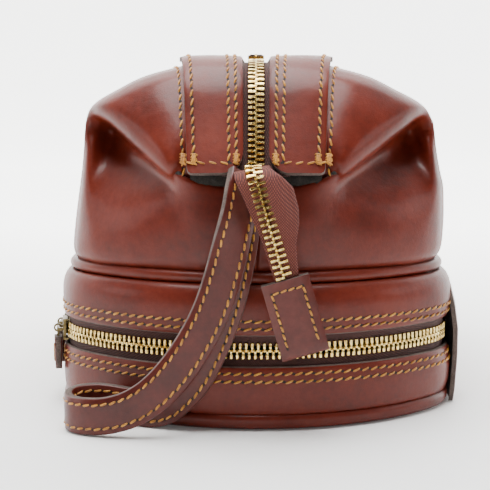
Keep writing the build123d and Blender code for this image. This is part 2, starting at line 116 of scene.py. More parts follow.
class Shader:
    """A material's node tree with short ways to its patterns."""

    def __init__(self, name: str) -> None:
        """Makes an empty material.

        Args:
            name: the material's name.
        """
        self.material = bpy.data.materials.new(name)
        self.material.use_nodes = True
        self.tree = self.material.node_tree
        self.surface = self.tree.nodes["Principled BSDF"]

    def add(self, kind: str, inputs: Optional[dict] = None, **settings: object) -> bpy.types.Node:
        """Adds one node to this material, as add_node does."""
        return add_node(self.tree, kind, inputs, **settings)

    def noise(self, per_mm: float, detail: float = 3.0, roughness: float = 0.55) -> Socket:
        """Noise in the piece's own space.

        Args:
            per_mm: features per millimetre.
            detail: octaves.
            roughness: how strong the fine octaves are.

        Returns:
            The noise value socket.
        """
        node = self.add("ShaderNodeTexNoise", {
            "Vector": self.place(), "Scale": per_mm / MM, "Detail": detail, "Roughness": roughness})
        return node.outputs["Fac"]

    def place(self) -> Socket:
        """The object coordinates, made once.

        Returns:
            The object coordinate socket.
        """
        found = self.tree.nodes.get("place") or self.add("ShaderNodeTexCoord", name="place")
        return found.outputs["Object"]

    def ramp(self, value: Socket, stops: Sequence[tuple[float, str]]) -> Socket:
        """Colours a value.

        Args:
            value: the value from 0 to 1.
            stops: position and hex colour of each stop.

        Returns:
            The colour socket.
        """
        node = self.add("ShaderNodeValToRGB", {"Fac": value})
        elements = node.color_ramp.elements
        while len(elements) < len(stops):
            elements.new(0.5)
        for element, (position, code) in zip(elements, stops):
            element.position = position
            element.color = linear(code)
        return node.outputs["Color"]

    def math(self, operation: str, a: Value, b: Value) -> Socket:
        """Arithmetic on two values.

        Args:
            operation: the math node's operation.
            a: first value or socket.
            b: second value or socket.

        Returns:
            The result socket.
        """
        return self.add("ShaderNodeMath", {0: a, 1: b}, operation=operation).outputs[0]

    def bump(self, height: Socket, depth_mm: float, strength: float = 1.0,
             under: Optional[Socket] = None) -> Socket:
        """Relief from a height.

        Args:
            height: value from 0 to 1.
            depth_mm: how deep the relief is.
            strength: how much of it shows.
            under: normal socket of a coarser relief, if any.

        Returns:
            The normal socket.
        """
        inputs = {"Height": height, "Distance": depth_mm * MM, "Strength": strength}
        if under is not None:
            inputs["Normal"] = under
        return self.add("ShaderNodeBump", inputs).outputs["Normal"]

    def feed(self, **sockets: object) -> None:
        """Links sockets to the surface, or sets plain values on it.

        Args:
            **sockets: surface input name, with spaces as underscores, to socket or value.
        """
        for key, value in sockets.items():
            target = self.surface.inputs[key.replace("_", " ")]
            if isinstance(value, bpy.types.NodeSocket):
                self.tree.links.new(value, target)
            else:
                target.default_value = value


class Finish(Enum):
    """Every finish on the bag, by the material it is."""

    LEATHER = "glazed_calf_leather"
    STRAP_LEATHER = "strap_calf_leather"
    RAW_EDGE = "raw_leather_edge"
    FLESH = "leather_flesh_side"
    THREAD = "waxed_linen_thread"
    HOLE_SHADE = "painted_awl_hole_shade"
    # Near-black painted shade that stands in for the shadow inside each awl hole.
    BRASS = "polished_brass"
    OLD_BRASS = "antique_brass"
    TEETH = "light_gold_brass"
    TAPE = "burgundy_zip_tape"
    TAIL_TAPE = "terracotta_zip_tape"
    LINING = "black_felt_lining"
    FRAY = "frayed_lining_edge"
    STEEL = "spring_steel"
    BOARD = "grey_board"


@dataclass(frozen=True)
class Leather:
    """Glazed mahogany calf: fine pores, soft clouding and a clear glaze.

    Attributes:
        deep: colour in the darker clouds.
        middle: main colour.
        light: rubbed colour.
        roughness: of the leather under the glaze.
        glaze: weight of the clear top coat.
    """

    deep: str = "4a160b"
    middle: str = "5d1c0e"
    light: str = "6c2717"
    roughness: float = 0.4
    glaze: float = 0.16

    def material(self, name: str) -> bpy.types.Material:
        """Makes the material.

        Args:
            name: its name.

        Returns:
            The material.
        """
        shader = Shader(name)
        # Dye clouds are about 29 mm across, the mottle 2.5 mm, creases 4.5 mm and pores 0.7 mm.
        clouds = shader.noise(0.035, 4.0, 0.6)
        mottle = shader.noise(0.4, 5.0, 0.7)
        blend = shader.math("ADD", shader.math("MULTIPLY", clouds, 0.65),
                            shader.math("MULTIPLY", mottle, 0.35))
        colour = shader.ramp(blend, ((0.34, self.deep), (0.5, self.middle), (0.68, self.light)))
        pores = shader.add("ShaderNodeTexVoronoi", {
            "Vector": shader.place(), "Scale": 1.5 / MM, "Randomness": 1.0}, feature="DISTANCE_TO_EDGE")
        grain = shader.math("MINIMUM", shader.math("MULTIPLY", pores.outputs["Distance"], 5.0), 1.0)
        crease = shader.noise(0.22, 6.0, 0.62)
        normal = shader.bump(crease, 0.5, 0.35)
        normal = shader.bump(grain, 0.05, 0.35, normal)
        rough = shader.math("ADD", shader.math("MULTIPLY", mottle, 0.22), self.roughness - 0.1)
        shader.feed(Base_Color=colour, Roughness=rough, Normal=normal, Coat_Weight=self.glaze,
                    Coat_Roughness=0.2, Specular_IOR_Level=0.2)
        return shader.material


@dataclass(frozen=True)
class Fibrous:
    """Cut leather edges, flesh side, felt and thread: matt fibres over a mottled colour.

    Attributes:
        dark: colour between the fibres.
        light: colour of the fibres.
        per_mm: fibres per millimetre.
        relief_mm: height of the fibres.
        roughness: of the surface.
        sheen: weight of the soft sheen.
    """

    dark: str
    light: str
    per_mm: float = 2.5
    relief_mm: float = 0.1
    roughness: float = 0.85
    sheen: float = 0.1

    def material(self, name: str) -> bpy.types.Material:
        """Makes the material.

        Args:
            name: its name.

        Returns:
            The material.
        """
        shader = Shader(name)
        fibre = shader.noise(self.per_mm, 5.0, 0.7)
        broad = shader.noise(self.per_mm / 8, 2.0)
        colour = shader.ramp(shader.math("ADD", shader.math("MULTIPLY", fibre, 0.6),
                                         shader.math("MULTIPLY", broad, 0.4)),
                             ((0.36, self.dark), (0.62, self.light)))
        shader.feed(Base_Color=colour, Roughness=self.roughness, Sheen_Weight=self.sheen,
                    Normal=shader.bump(fibre, self.relief_mm, 0.7))
        return shader.material


@dataclass(frozen=True)
class Metal:
    """Polished metal with a faint unevenness, darker in its tarnish.

    Attributes:
        bright: polished colour.
        dull: tarnished colour.
        roughness: of the polish.
    """

    bright: str
    dull: str
    roughness: float = 0.24

    def material(self, name: str) -> bpy.types.Material:
        """Makes the material.

        Args:
            name: its name.

        Returns:
            The material.
        """
        shader = Shader(name)
        tarnish = shader.noise(0.9, 3.0)
        colour = shader.ramp(tarnish, ((0.35, self.dull), (0.6, self.bright)))
        rough = shader.math("ADD", shader.math("MULTIPLY", shader.noise(2.0), 0.12), self.roughness - 0.05)
        shader.feed(Base_Color=colour, Metallic=1.0, Roughness=rough,
                    Normal=shader.bump(shader.noise(1.6, 2.0), 0.03, 0.3))
        return shader.material


@dataclass(frozen=True)
class Weave:
    """Zip tape: fine twill ribs of two shades.

    Attributes:
        dark: colour between the ribs.
        light: colour of the ribs.
        rib_mm: width of a rib.
        lean: direction of the ribs in the piece's space.
    """

    dark: str
    light: str
    rib_mm: float = 0.62
    lean: Point = (0.5, 0.35, 0.8)

    def material(self, name: str) -> bpy.types.Material:
        """Makes the material.

        Args:
            name: its name.

        Returns:
            The material.
        """
        shader = Shader(name)
        turns = []
        for flip in (1.0, -1.0):
            turn = (self.lean[0], flip * self.lean[1], flip * self.lean[2])
            spun = shader.add("ShaderNodeMapping", {"Vector": shader.place(), "Rotation": turn})
            wave = shader.add("ShaderNodeTexWave", {
                "Vector": spun.outputs[0], "Scale": 0.314 / (self.rib_mm * MM), "Distortion": 0.6,
                "Detail": 1.0}, bands_direction="X")
            turns.append(wave.outputs["Fac"])
        rib = shader.math("MULTIPLY", turns[0], turns[1])
        colour = shader.ramp(shader.math("ADD", rib, shader.math("MULTIPLY", shader.noise(1.2), 0.3)),
                             ((0.1, self.dark), (0.75, self.light)))
        shader.feed(Base_Color=colour, Roughness=0.8, Sheen_Weight=0.05,
                    Normal=shader.bump(rib, 0.18, 0.8))
        return shader.material


RECIPES = {
    # Glazed calf, dyed and burnished: soft clouds under a clear shine.
    Finish.LEATHER: Leather(),
    # Same calf, dyed darker and glazed more, as on the strap, tab and pulls.
    Finish.STRAP_LEATHER: Leather(deep="3f130d", middle="511c14", light="61281e", roughness=0.36, glaze=0.28),
    # Cut edge and flesh side of the hide: matt brown fibres.
    Finish.RAW_EDGE: Fibrous("3b2c26", "665750", 1.6, 0.12, 0.85, 0.0),
    Finish.FLESH: Fibrous("3c1d16", "5d352a", 1.2, 0.2),
    # Waxed linen, twisted: a dull golden glint. The holes between stitches are painted shade: near-black
    # discs stand in for the shadow inside each awl hole.
    Finish.THREAD: Fibrous("7d450a", "d6952e", 2.2, 0.12, 0.5, 0.05),
    Finish.HOLE_SHADE: Fibrous("0e0403", "1d0a07", 1.0, 0.05),
    # Cast brass, polished, or darkened by age on the lower sliders, or pale on the stamped teeth.
    Finish.BRASS: Metal("c9a557", "8a6a32"),
    Finish.OLD_BRASS: Metal("7a6a45", "453a26", 0.35),
    Finish.TEETH: Metal("f0d78f", "b98f45", 0.22),
    # Woven polyester twill, 0.6 mm a rib: wine inside the zips, rust red on the tail.
    Finish.TAPE: Weave("1f0706", "4c1b12", 0.55),
    Finish.TAIL_TAPE: Weave("3f130d", "7c382a", 0.6),
    # Black felt, and its frayed edge: no shine at all.
    Finish.FRAY: Fibrous("030202", "2e2823", 1.6, 0.5, 0.95, 0.0),
    Finish.LINING: Fibrous("0d0b0a", "37312d", 1.4, 0.35, 0.95, 0.3),
    # Rolled spring steel, and grey pressed board.
    Finish.STEEL: Metal("a7a6a2", "6f6d69", 0.32),
    Finish.BOARD: Fibrous("4b443d", "6d655c", 0.8, 0.1),
}
MADE: dict[Finish, bpy.types.Material] = {}


def finish(kind: Finish) -> bpy.types.Material:
    """The material of a finish, made at its first use.

    Args:
        kind: which finish.

    Returns:
        The material.
    """
    if kind not in MADE:
        MADE[kind] = RECIPES[kind].material(kind.value)
    return MADE[kind]


# ------------------------------------------------------------------ mesh helpers
def unit(vector: np.ndarray) -> np.ndarray:
    """The same direction with length one.

    Args:
        vector: any vector or rows of vectors.

    Returns:
        Unit vectors.
    """
    length = np.linalg.norm(vector, axis=-1, keepdims=True)
    return vector / np.maximum(length, 1e-9)


def smooth_line(points: Sequence[Sequence[float]], per_span: int) -> np.ndarray:
    """Smooth curve through points.

    Args:
        points: the points it passes through.
        per_span: steps between two points.

    Returns:
        Rows of points.
    """
    data = np.array(points, float)
    padded = np.vstack([2 * data[0] - data[1], data, 2 * data[-1] - data[-2]])
    rows = []
    for n in range(len(data) - 1):
        a, b, c, d = padded[n:n + 4]
        for step in range(per_span):
            t = step / per_span
            rows.append(0.5 * (2 * b + (c - a) * t + (2 * a - 5 * b + 4 * c - d) * t**2
                               + (3 * b - a - 3 * c + d) * t**3))
    rows.append(data[-1])
    return np.array(rows)


def evenly(line: np.ndarray, step: float, start: float = 0.0, stop: float = 0.0) -> np.ndarray:
    """Resamples a line at equal distances.

    Args:
        line: rows of values whose first three are a point.
        step: distance between samples; it is adjusted to fit.
        start: distance left out at the start.
        stop: distance left out at the end.

    Returns:
        Rows with the same columns.
    """
    gaps = np.linalg.norm(np.diff(line[:, :3], axis=0), axis=1)
    travelled = np.concatenate([[0.0], np.cumsum(gaps)])
    length = travelled[-1] - start - stop
    count = max(int(round(length / step)), 1)
    marks = start + np.linspace(0, length, count + 1)
    return np.column_stack([np.interp(marks, travelled, line[:, c]) for c in range(line.shape[1])])


@dataclass
class Shape:
    """Corners and faces of one piece, in millimetres.

    Attributes:
        corners: rows of corners.
        faces: corner numbers of each face.
        slots: material number of each face.
    """

    corners: list = field(default_factory=list)
    faces: list = field(default_factory=list)
    slots: list = field(default_factory=list)

    def grid(self, rows: np.ndarray, slot: Slots = 0, close_rows: bool = False,
             close_columns: bool = False, flip: bool = False) -> None:
        """Adds a sheet of quads.

        Args:
            rows: array of rows of points.
            slot: material number, or one for each step along a row.
            close_rows: joins the last row to the first.
            close_columns: joins the last column to the first.
            flip: turns the faces over.
        """
        base = len(self.corners)
        count, width = rows.shape[:2]
        self.corners.extend(rows.reshape(-1, 3))
        for i in range(count if close_rows else count - 1):
            for j in range(width if close_columns else width - 1):
                k, m = (i + 1) % count, (j + 1) % width
                quad = [base + row * width + column for row, column in ((i, j), (k, j), (k, m), (i, m))]
                self.faces.append(quad[::-1] if flip else quad)
                self.slots.append(slot if isinstance(slot, int) else slot[j])

    def cap(self, ring: np.ndarray, slot: int = 0, flip: bool = False) -> None:
        """Adds one flat face.

        Args:
            ring: its corners.
            slot: material number.
            flip: turns it over.
        """
        base = len(self.corners)
        self.corners.extend(ring)
        face = list(range(base, base + len(ring)))
        self.faces.append(face[::-1] if flip else face)
        self.slots.append(slot)

    def loop_sweep(self, sections: np.ndarray, slot: Slots = 0, closed: bool = False,
                   cap_slot: int = 0) -> None:
        """Adds a solid from closed sections in a row.

        Args:
            sections: array of sections of points.
            slot: material number, or one for each step round a section.
            closed: joins the last section to the first, with no caps.
            cap_slot: material number of the caps.
        """
        self.grid(sections, slot, close_rows=closed, close_columns=True)
        if not closed:
            self.cap(sections[0], cap_slot)
            self.cap(sections[-1], cap_slot, flip=True)

    def rim(self, front: np.ndarray, back: np.ndarray, slot: int = 1, flip: bool = False,
            halfway: bool = True) -> None:
        """Closes the four edges between two sheets of the same layout.

        Args:
            front: rows of points of one sheet.
            back: rows of points of the other.
            slot: material number.
            flip: turns the faces over.
            halfway: adds a row of points midway.
        """
        edges = ((front[0], back[0], False), (front[-1], back[-1], True),
                 (front[:, 0], back[:, 0], True), (front[:, -1], back[:, -1], False))
        for a, b, turned in edges:
            rows = [a, (a + b) / 2, b] if halfway else [a, b]
            self.grid(np.array(rows), slot, flip=turned ^ flip)

    def copies(self, corners: np.ndarray, faces: Sequence[Sequence[int]], seats: Iterable[np.ndarray],
               slot: int = 0) -> None:
        """Adds a small form at many places.

        Args:
            corners: the form's corners.
            faces: the form's faces.
            seats: for each copy, four rows: place, X, Y and Z axes.
            slot: material number.
        """
        for seat in seats:
            base = len(self.corners)
            self.corners.extend(seat[0] + corners @ seat[1:4])
            self.faces.extend([base + i for i in face] for face in faces)
            self.slots.extend([slot] * len(faces))

    def build(self, name: str, finishes: Sequence[Finish], smooth: bool = True) -> bpy.types.Object:
        """Makes the Blender object.

        Args:
            name: the object's name.
            finishes: the finish of each material number.
            smooth: shades it smoothly.

        Returns:
            The object, in metres.
        """
        mesh = bpy.data.meshes.new(name)
        mesh.from_pydata([tuple(c * MM for c in corner) for corner in self.corners], [], self.faces)
        for kind in finishes:
            mesh.materials.append(finish(kind))
        mesh.polygons.foreach_set("material_index", self.slots)
        mesh.polygons.foreach_set("use_smooth", [smooth] * len(self.faces))
        mesh.validate()
        mesh.update()
        piece = bpy.data.objects.new(name, mesh)
        bpy.context.collection.objects.link(piece)
        return piece


def settle(piece: bpy.types.Object, body: str, nodes: Sequence[str] = ()) -> bpy.types.Object:
    """Puts a piece on its body and says what it stands for.

    Args:
        piece: the object.
        body: the CAD body it moves with.
        nodes: CAD nodes that it replaces.

    Returns:
        The same object.
    """
    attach(piece, body)
    if nodes:
        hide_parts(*nodes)
    log.info("%s rides on %s", piece.name, body)
    return piece


def bend(piece: bpy.types.Object, bodies: tuple[str, str],
         nodes: Sequence[str] = ()) -> None:
    """Bakes a soft piece in place where it lies and says what it stands for.

    Args:
        piece: the object.
        bodies: the body it leaves and the one it reaches.
        nodes: CAD nodes that it replaces.
    """
    if nodes:
        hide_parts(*nodes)
    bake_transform(piece)
    log.info("%s bends between %s and %s", piece.name, *bodies)


def thicken(piece: bpy.types.Object, thickness: float, offset: float, inner: int = 0, rim: int = 0) -> None:
    """Gives a sheet its thickness, as plain mesh.

    Args:
        piece: the sheet.
        thickness: in millimetres.
        offset: -1 grows it behind the sheet, 0 to both sides.
        inner: steps in material number for the inside.
        rim: steps in material number for the rim.
    """
    skin = piece.modifiers.new("thickness", "SOLIDIFY")
    skin.thickness = thickness * MM
    skin.offset = offset
    skin.material_offset = inner
    skin.material_offset_rim = rim
    graph = bpy.context.evaluated_depsgraph_get()
    mesh = bpy.data.meshes.new_from_object(piece.evaluated_get(graph))
    piece.modifiers.clear()
    piece.data = mesh


# ------------------------------------------------------------------ sizes shared by the pieces
@dataclass(frozen=True)
class Sizes:
    """Sizes of the bag that several pieces share, in millimetres."""

    half_width: float = 77.5
    half_length: float = 127.5
    bow_radius: float = 95.0
    corner_radius: float = 32.0
    zip_z: float = 30.0
    tray_edge_z: float = 24.2
    lid_edge_z: float = 35.8
    lid_top_z: float = 54.2
    piping_z: float = 56.6
    piping_radius: float = 2.3
    piping_inset: float = 5.8
    chain_inset: float = 2.1
    pitch: float = 2.2
    mouth_top_z: float = 138.0
    mouth_straight: float = 88.0
    mouth_radius: float = 28.0
    mouth_turn: float = math.radians(62.0)
    mouth_arm: float = 31.3
    band_from: float = 5.5
    band_to: float = 29.5
    chain_depth: float = 2.35
    waver: float = 0.35

    @property
    def bow_y(self) -> float:
        """Where the bow of an end has its centre."""
        return self.half_length - self.bow_radius

    @property
    def corner(self) -> tuple[float, float]:
        """Centre of a round corner, in X and Y."""
        x = self.half_width - self.corner_radius
        return x, self.bow_y + math.sqrt((self.bow_radius - self.corner_radius) ** 2 - x**2)


SIZE = Sizes()


def plan_line(reach: float, closed: bool = False, step: float = 2.0) -> np.ndarray:
    """The bag's outline seen from above, from the right side round the near end and back.

    Args:
        reach: how far along the right side it starts and ends.
        closed: goes on along the right side to its start.
        step: distance between samples.

    Returns:
        Rows of x, y, zero, and the outward direction's x and y.
    """
    cx, cy = SIZE.corner
    split = math.atan2(cy - SIZE.bow_y, cx)
    arcs = [
        (cx, -cy, SIZE.corner_radius, 0.0, -split),
        (0.0, -SIZE.bow_y, SIZE.bow_radius, -split, -math.pi + split),
        (-cx, -cy, SIZE.corner_radius, -math.pi + split, -math.pi),
        (-cx, cy, SIZE.corner_radius, math.pi, math.pi - split),
        (0.0, SIZE.bow_y, SIZE.bow_radius, math.pi - split, split),
        (cx, cy, SIZE.corner_radius, split, 0.0),
    ]
    rows = [(SIZE.half_width, -reach, 0, 1, 0)]
    for x, y, radius, start, stop in arcs:
        for angle in np.linspace(start, stop, max(int(abs(stop - start) * radius / step), 4)):
            c, s = math.cos(angle), math.sin(angle)
            rows.append((x + radius * c, y + radius * s, 0, c, s))
    rows.append((SIZE.half_width, reach, 0, 1, 0))
    if closed:
        rows.append((SIZE.half_width, -reach + 1e-3, 0, 1, 0))
    clean = [rows[0]]
    for row in rows[1:]:
        if math.hypot(row[0] - clean[-1][0], row[1] - clean[-1][1]) > 0.01:
            clean.append(row)
    return evenly(np.array(clean, float), step)


def place_on_plan(line: np.ndarray, inset: float, z: float) -> np.ndarray:
    """Moves an outline in and up.

    Args:
        line: rows from plan_line.
        inset: how far in from the outline.
        z: height.

    Returns:
        Rows of points.
    """
    flat = line[:, :2] - inset * line[:, 3:5]
    return np.column_stack([flat, np.full(len(line), z)])


def drift(n: int) -> float:
    """How soft wall leather wanders in and out along the outline.

    Args:
        n: number of the sample along the outline.

    Returns:
        The share of the waver there, from about -1.4 to 1.4.
    """
    return math.sin(n * 0.11) * 0.6 + math.sin(n * 0.043 + 1.3) * 0.8


def plan_sections(line: np.ndarray, profile: Sequence[tuple[float, float]], waver: float = 0.0) -> np.ndarray:
    """Sections that stand on the outline.

    Args:
        line: rows from plan_line.
        profile: closed profile as (outward, height).
        waver: how far soft leather wanders in and out.

    Returns:
        Array of sections of points.
    """
    sections = []
    for n, row in enumerate(line):
        wander = waver * drift(n)
        pushed = [(out + wander * belly(z), z) for out, z in profile]
        sections.append([(row[0] + row[3] * out, row[1] + row[4] * out, z) for out, z in pushed])
    return np.array(sections)


def belly(z: float) -> float:
    """How free the wall leather is at a height: nothing at seams, most between them.

    Args:
        z: height.

    Returns:
        A share from 0 to 1.
    """
    for low, high in ((6.0, SIZE.tray_edge_z), (SIZE.lid_edge_z, SIZE.lid_top_z)):
        if low < z < high:
            return math.sin(math.pi * (z - low) / (high - low))
    return 0.0


# ------------------------------------------------------------------ stitches and zip teeth
def stitch_form(length: float, radius: float) -> tuple[np.ndarray, list]:
    """One thread stitch: a plump spindle that dips at both ends.

    Args:
        length: from hole to hole.
        radius: of the thread.

    Returns:
        Corners and faces, along X with Z up.
    """
    sides = 6
    stations = ((-0.5, 0.35, -0.5), (-0.36, 0.9, 0.25), (-0.12, 1.05, 0.55), (0.12, 1.05, 0.55),
                (0.36, 0.9, 0.25), (0.5, 0.35, -0.5))
    corners = [(x * length, math.cos(a) * radius * r, math.sin(a) * radius * r + lift * radius)
               for x, r, lift in stations for a in np.linspace(0, 2 * math.pi, sides, endpoint=False)]
    faces = []
    for i in range(len(stations) - 1):
        for j in range(sides):
            k = (j + 1) % sides
            faces.append([i * sides + j, (i + 1) * sides + j, (i + 1) * sides + k, i * sides + k])
    faces += [list(range(sides))[::-1], [len(corners) - sides + j for j in range(sides)]]
    return np.array(corners), [face[::-1] for face in faces]


@dataclass
class Stitching:
    """All the thread of one piece, with flat near-black discs at the awl holes between its stitches as
    painted shade.

    Attributes:
        pitch: hole to hole.
        radius: of the thread.
        twist: degrees that each stitch leans from the row.
    """

    pitch: float = 3.8
    radius: float = 0.38
    twist: float = 20.0
    thread: Shape = field(default_factory=Shape)
    count: int = 0

    def row(self, line: np.ndarray, normals: np.ndarray, start: float = 0.0, stop: float = 0.0) -> None:
        """Sews one row.

        Args:
            line: points of the row on the surface.
            normals: the surface's outward direction at each point.
            start: length left plain at the start.
            stop: length left plain at the end.
        """
        spots = evenly(np.hstack([line, normals]), self.pitch, start, stop)
        form, faces = stitch_form(self.pitch * 0.86, self.radius)
        # A flat near-black disc at each awl hole: painted shade for the shadow inside the hole.
        hole_shade_disc = np.array([(math.cos(a) * 0.78, math.sin(a) * 0.5, 0.05)
                         for a in np.linspace(0, 2 * math.pi, 8, endpoint=False)])
        lean = math.radians(self.twist)
        for a, b in zip(spots[:-1], spots[1:]):
            up = unit(a[3:6] + b[3:6])
            along = unit(b[:3] - a[:3])
            across = np.cross(up, along)
            turned = along * math.cos(lean) + across * math.sin(lean)
            side = np.cross(up, turned)
            jitter = 0.12 * math.sin(self.count * 2.399)
            middle = (a[:3] + b[:3]) / 2 + across * jitter * 0.6
            self.thread.copies(form, faces, [np.array([middle, turned, side, up])], 0)
            self.thread.copies(hole_shade_disc, [list(range(8))], [np.array([a[:3], along, across, up])], 1)
            self.count += 1

    def tack(self, at: np.ndarray, along: np.ndarray, up: np.ndarray, length: float = 4.5) -> None:
        """Sews a bar tack: three short stitches on top of each other.

        Args:
            at: its middle.
            along: its direction.
            up: the surface's outward direction.
            length: of the tack.
        """
        form, faces = stitch_form(2.6, self.radius * 1.1)
        side = np.cross(up, along)
        for n, share in enumerate(np.linspace(-0.5, 0.5, 6)):
            lean = (0.45, -0.3, 0.15)[n % 3]
            way = side * math.cos(lean) + along * math.sin(lean)
            across = np.cross(up, way)
            seat = at + along * share * (length - 1) + up * (0.1 + 0.12 * (n % 2))
            self.thread.copies(form, faces, [np.array([seat, way, across, up])], 0)
        for shift in (-0.35, 0.4):
            long_form, long_faces = stitch_form(length, self.radius)
            seat = at + side * shift + up * 0.35
            self.thread.copies(long_form, long_faces, [np.array([seat, along, side, up])], 0)

    def build(self, name: str, body: str) -> bpy.types.Object:
        """Makes the object of the thread and of the painted hole shade.

        Args:
            name: its name.
            body: the body it rides on.

        Returns:
            The object.
        """
        return settle(self.thread.build(name, (Finish.THREAD, Finish.HOLE_SHADE)), body)


def tooth_form(overlap: float = 0.5) -> tuple[np.ndarray, list]:
    """One moulded zip tooth: two legs that grip the tape, a waist, and a rounded head.

    Args:
        overlap: how far the head passes the middle of the chain.

    Returns:
        Corners and faces, with the head toward Y and the thickness along Z.
    """
    stations = ((-3.1, 0.42, 0.9), (-2.9, 0.6, 1.2), (-1.6, 0.62, 1.3), (-0.8, 0.5, 1.2),
                (-0.3, 0.6, 1.25), (overlap - 0.18, 0.56, 1.1), (overlap, 0.36, 0.8))
    corners = []
    for y, half, thick in stations:
        low, high = -thick * 0.75, thick * 0.75
        corners += [(-half, y, low), (-half * 0.6, y, -thick), (half * 0.6, y, -thick), (half, y, low),
                    (half, y, high), (half * 0.6, y, thick), (-half * 0.6, y, thick), (-half, y, high)]
    faces = []
    for i in range(len(stations) - 1):
        for j in range(8):
            k = (j + 1) % 8
            faces.append([i * 8 + j, i * 8 + k, (i + 1) * 8 + k, (i + 1) * 8 + j])
    faces += [list(range(8))[::-1], [len(corners) - 8 + j for j in range(8)]]
    return np.array(corners), faces


def teeth(name: str, line: np.ndarray, outward: np.ndarray, toward: np.ndarray, first: float,
          last: float, keep: Callable[[np.ndarray], bool] = lambda spot: True) -> bpy.types.Object:
    """Builds a row of teeth.

    Args:
        name: the object's name.
        line: middle line of the chain.
        outward: face direction of the chain at each point.
        toward: direction of the other row at each point.
        first: distance of the first tooth from the start.
        last: distance of the last tooth from the start.
        keep: tells whether a place has a tooth.

    Returns:
        The object.
    """
    gaps = np.linalg.norm(np.diff(line, axis=0), axis=1)
    travelled = np.concatenate([[0.0], np.cumsum(gaps)])
    data = np.hstack([line, outward, toward])
    form, faces = tooth_form()
    seats = []
    for mark in np.arange(first, last, SIZE.pitch):
        row = np.array([np.interp(mark, travelled, data[:, c]) for c in range(9)])
        if keep(row[:3]):
            face, head = unit(row[3:6]), unit(row[6:9])
            seats.append(np.array([row[:3], np.cross(head, face), head, face]))
    shape = Shape()
    shape.copies(form, faces, seats)
    return shape.build(name, (Finish.TEETH,), smooth=False)


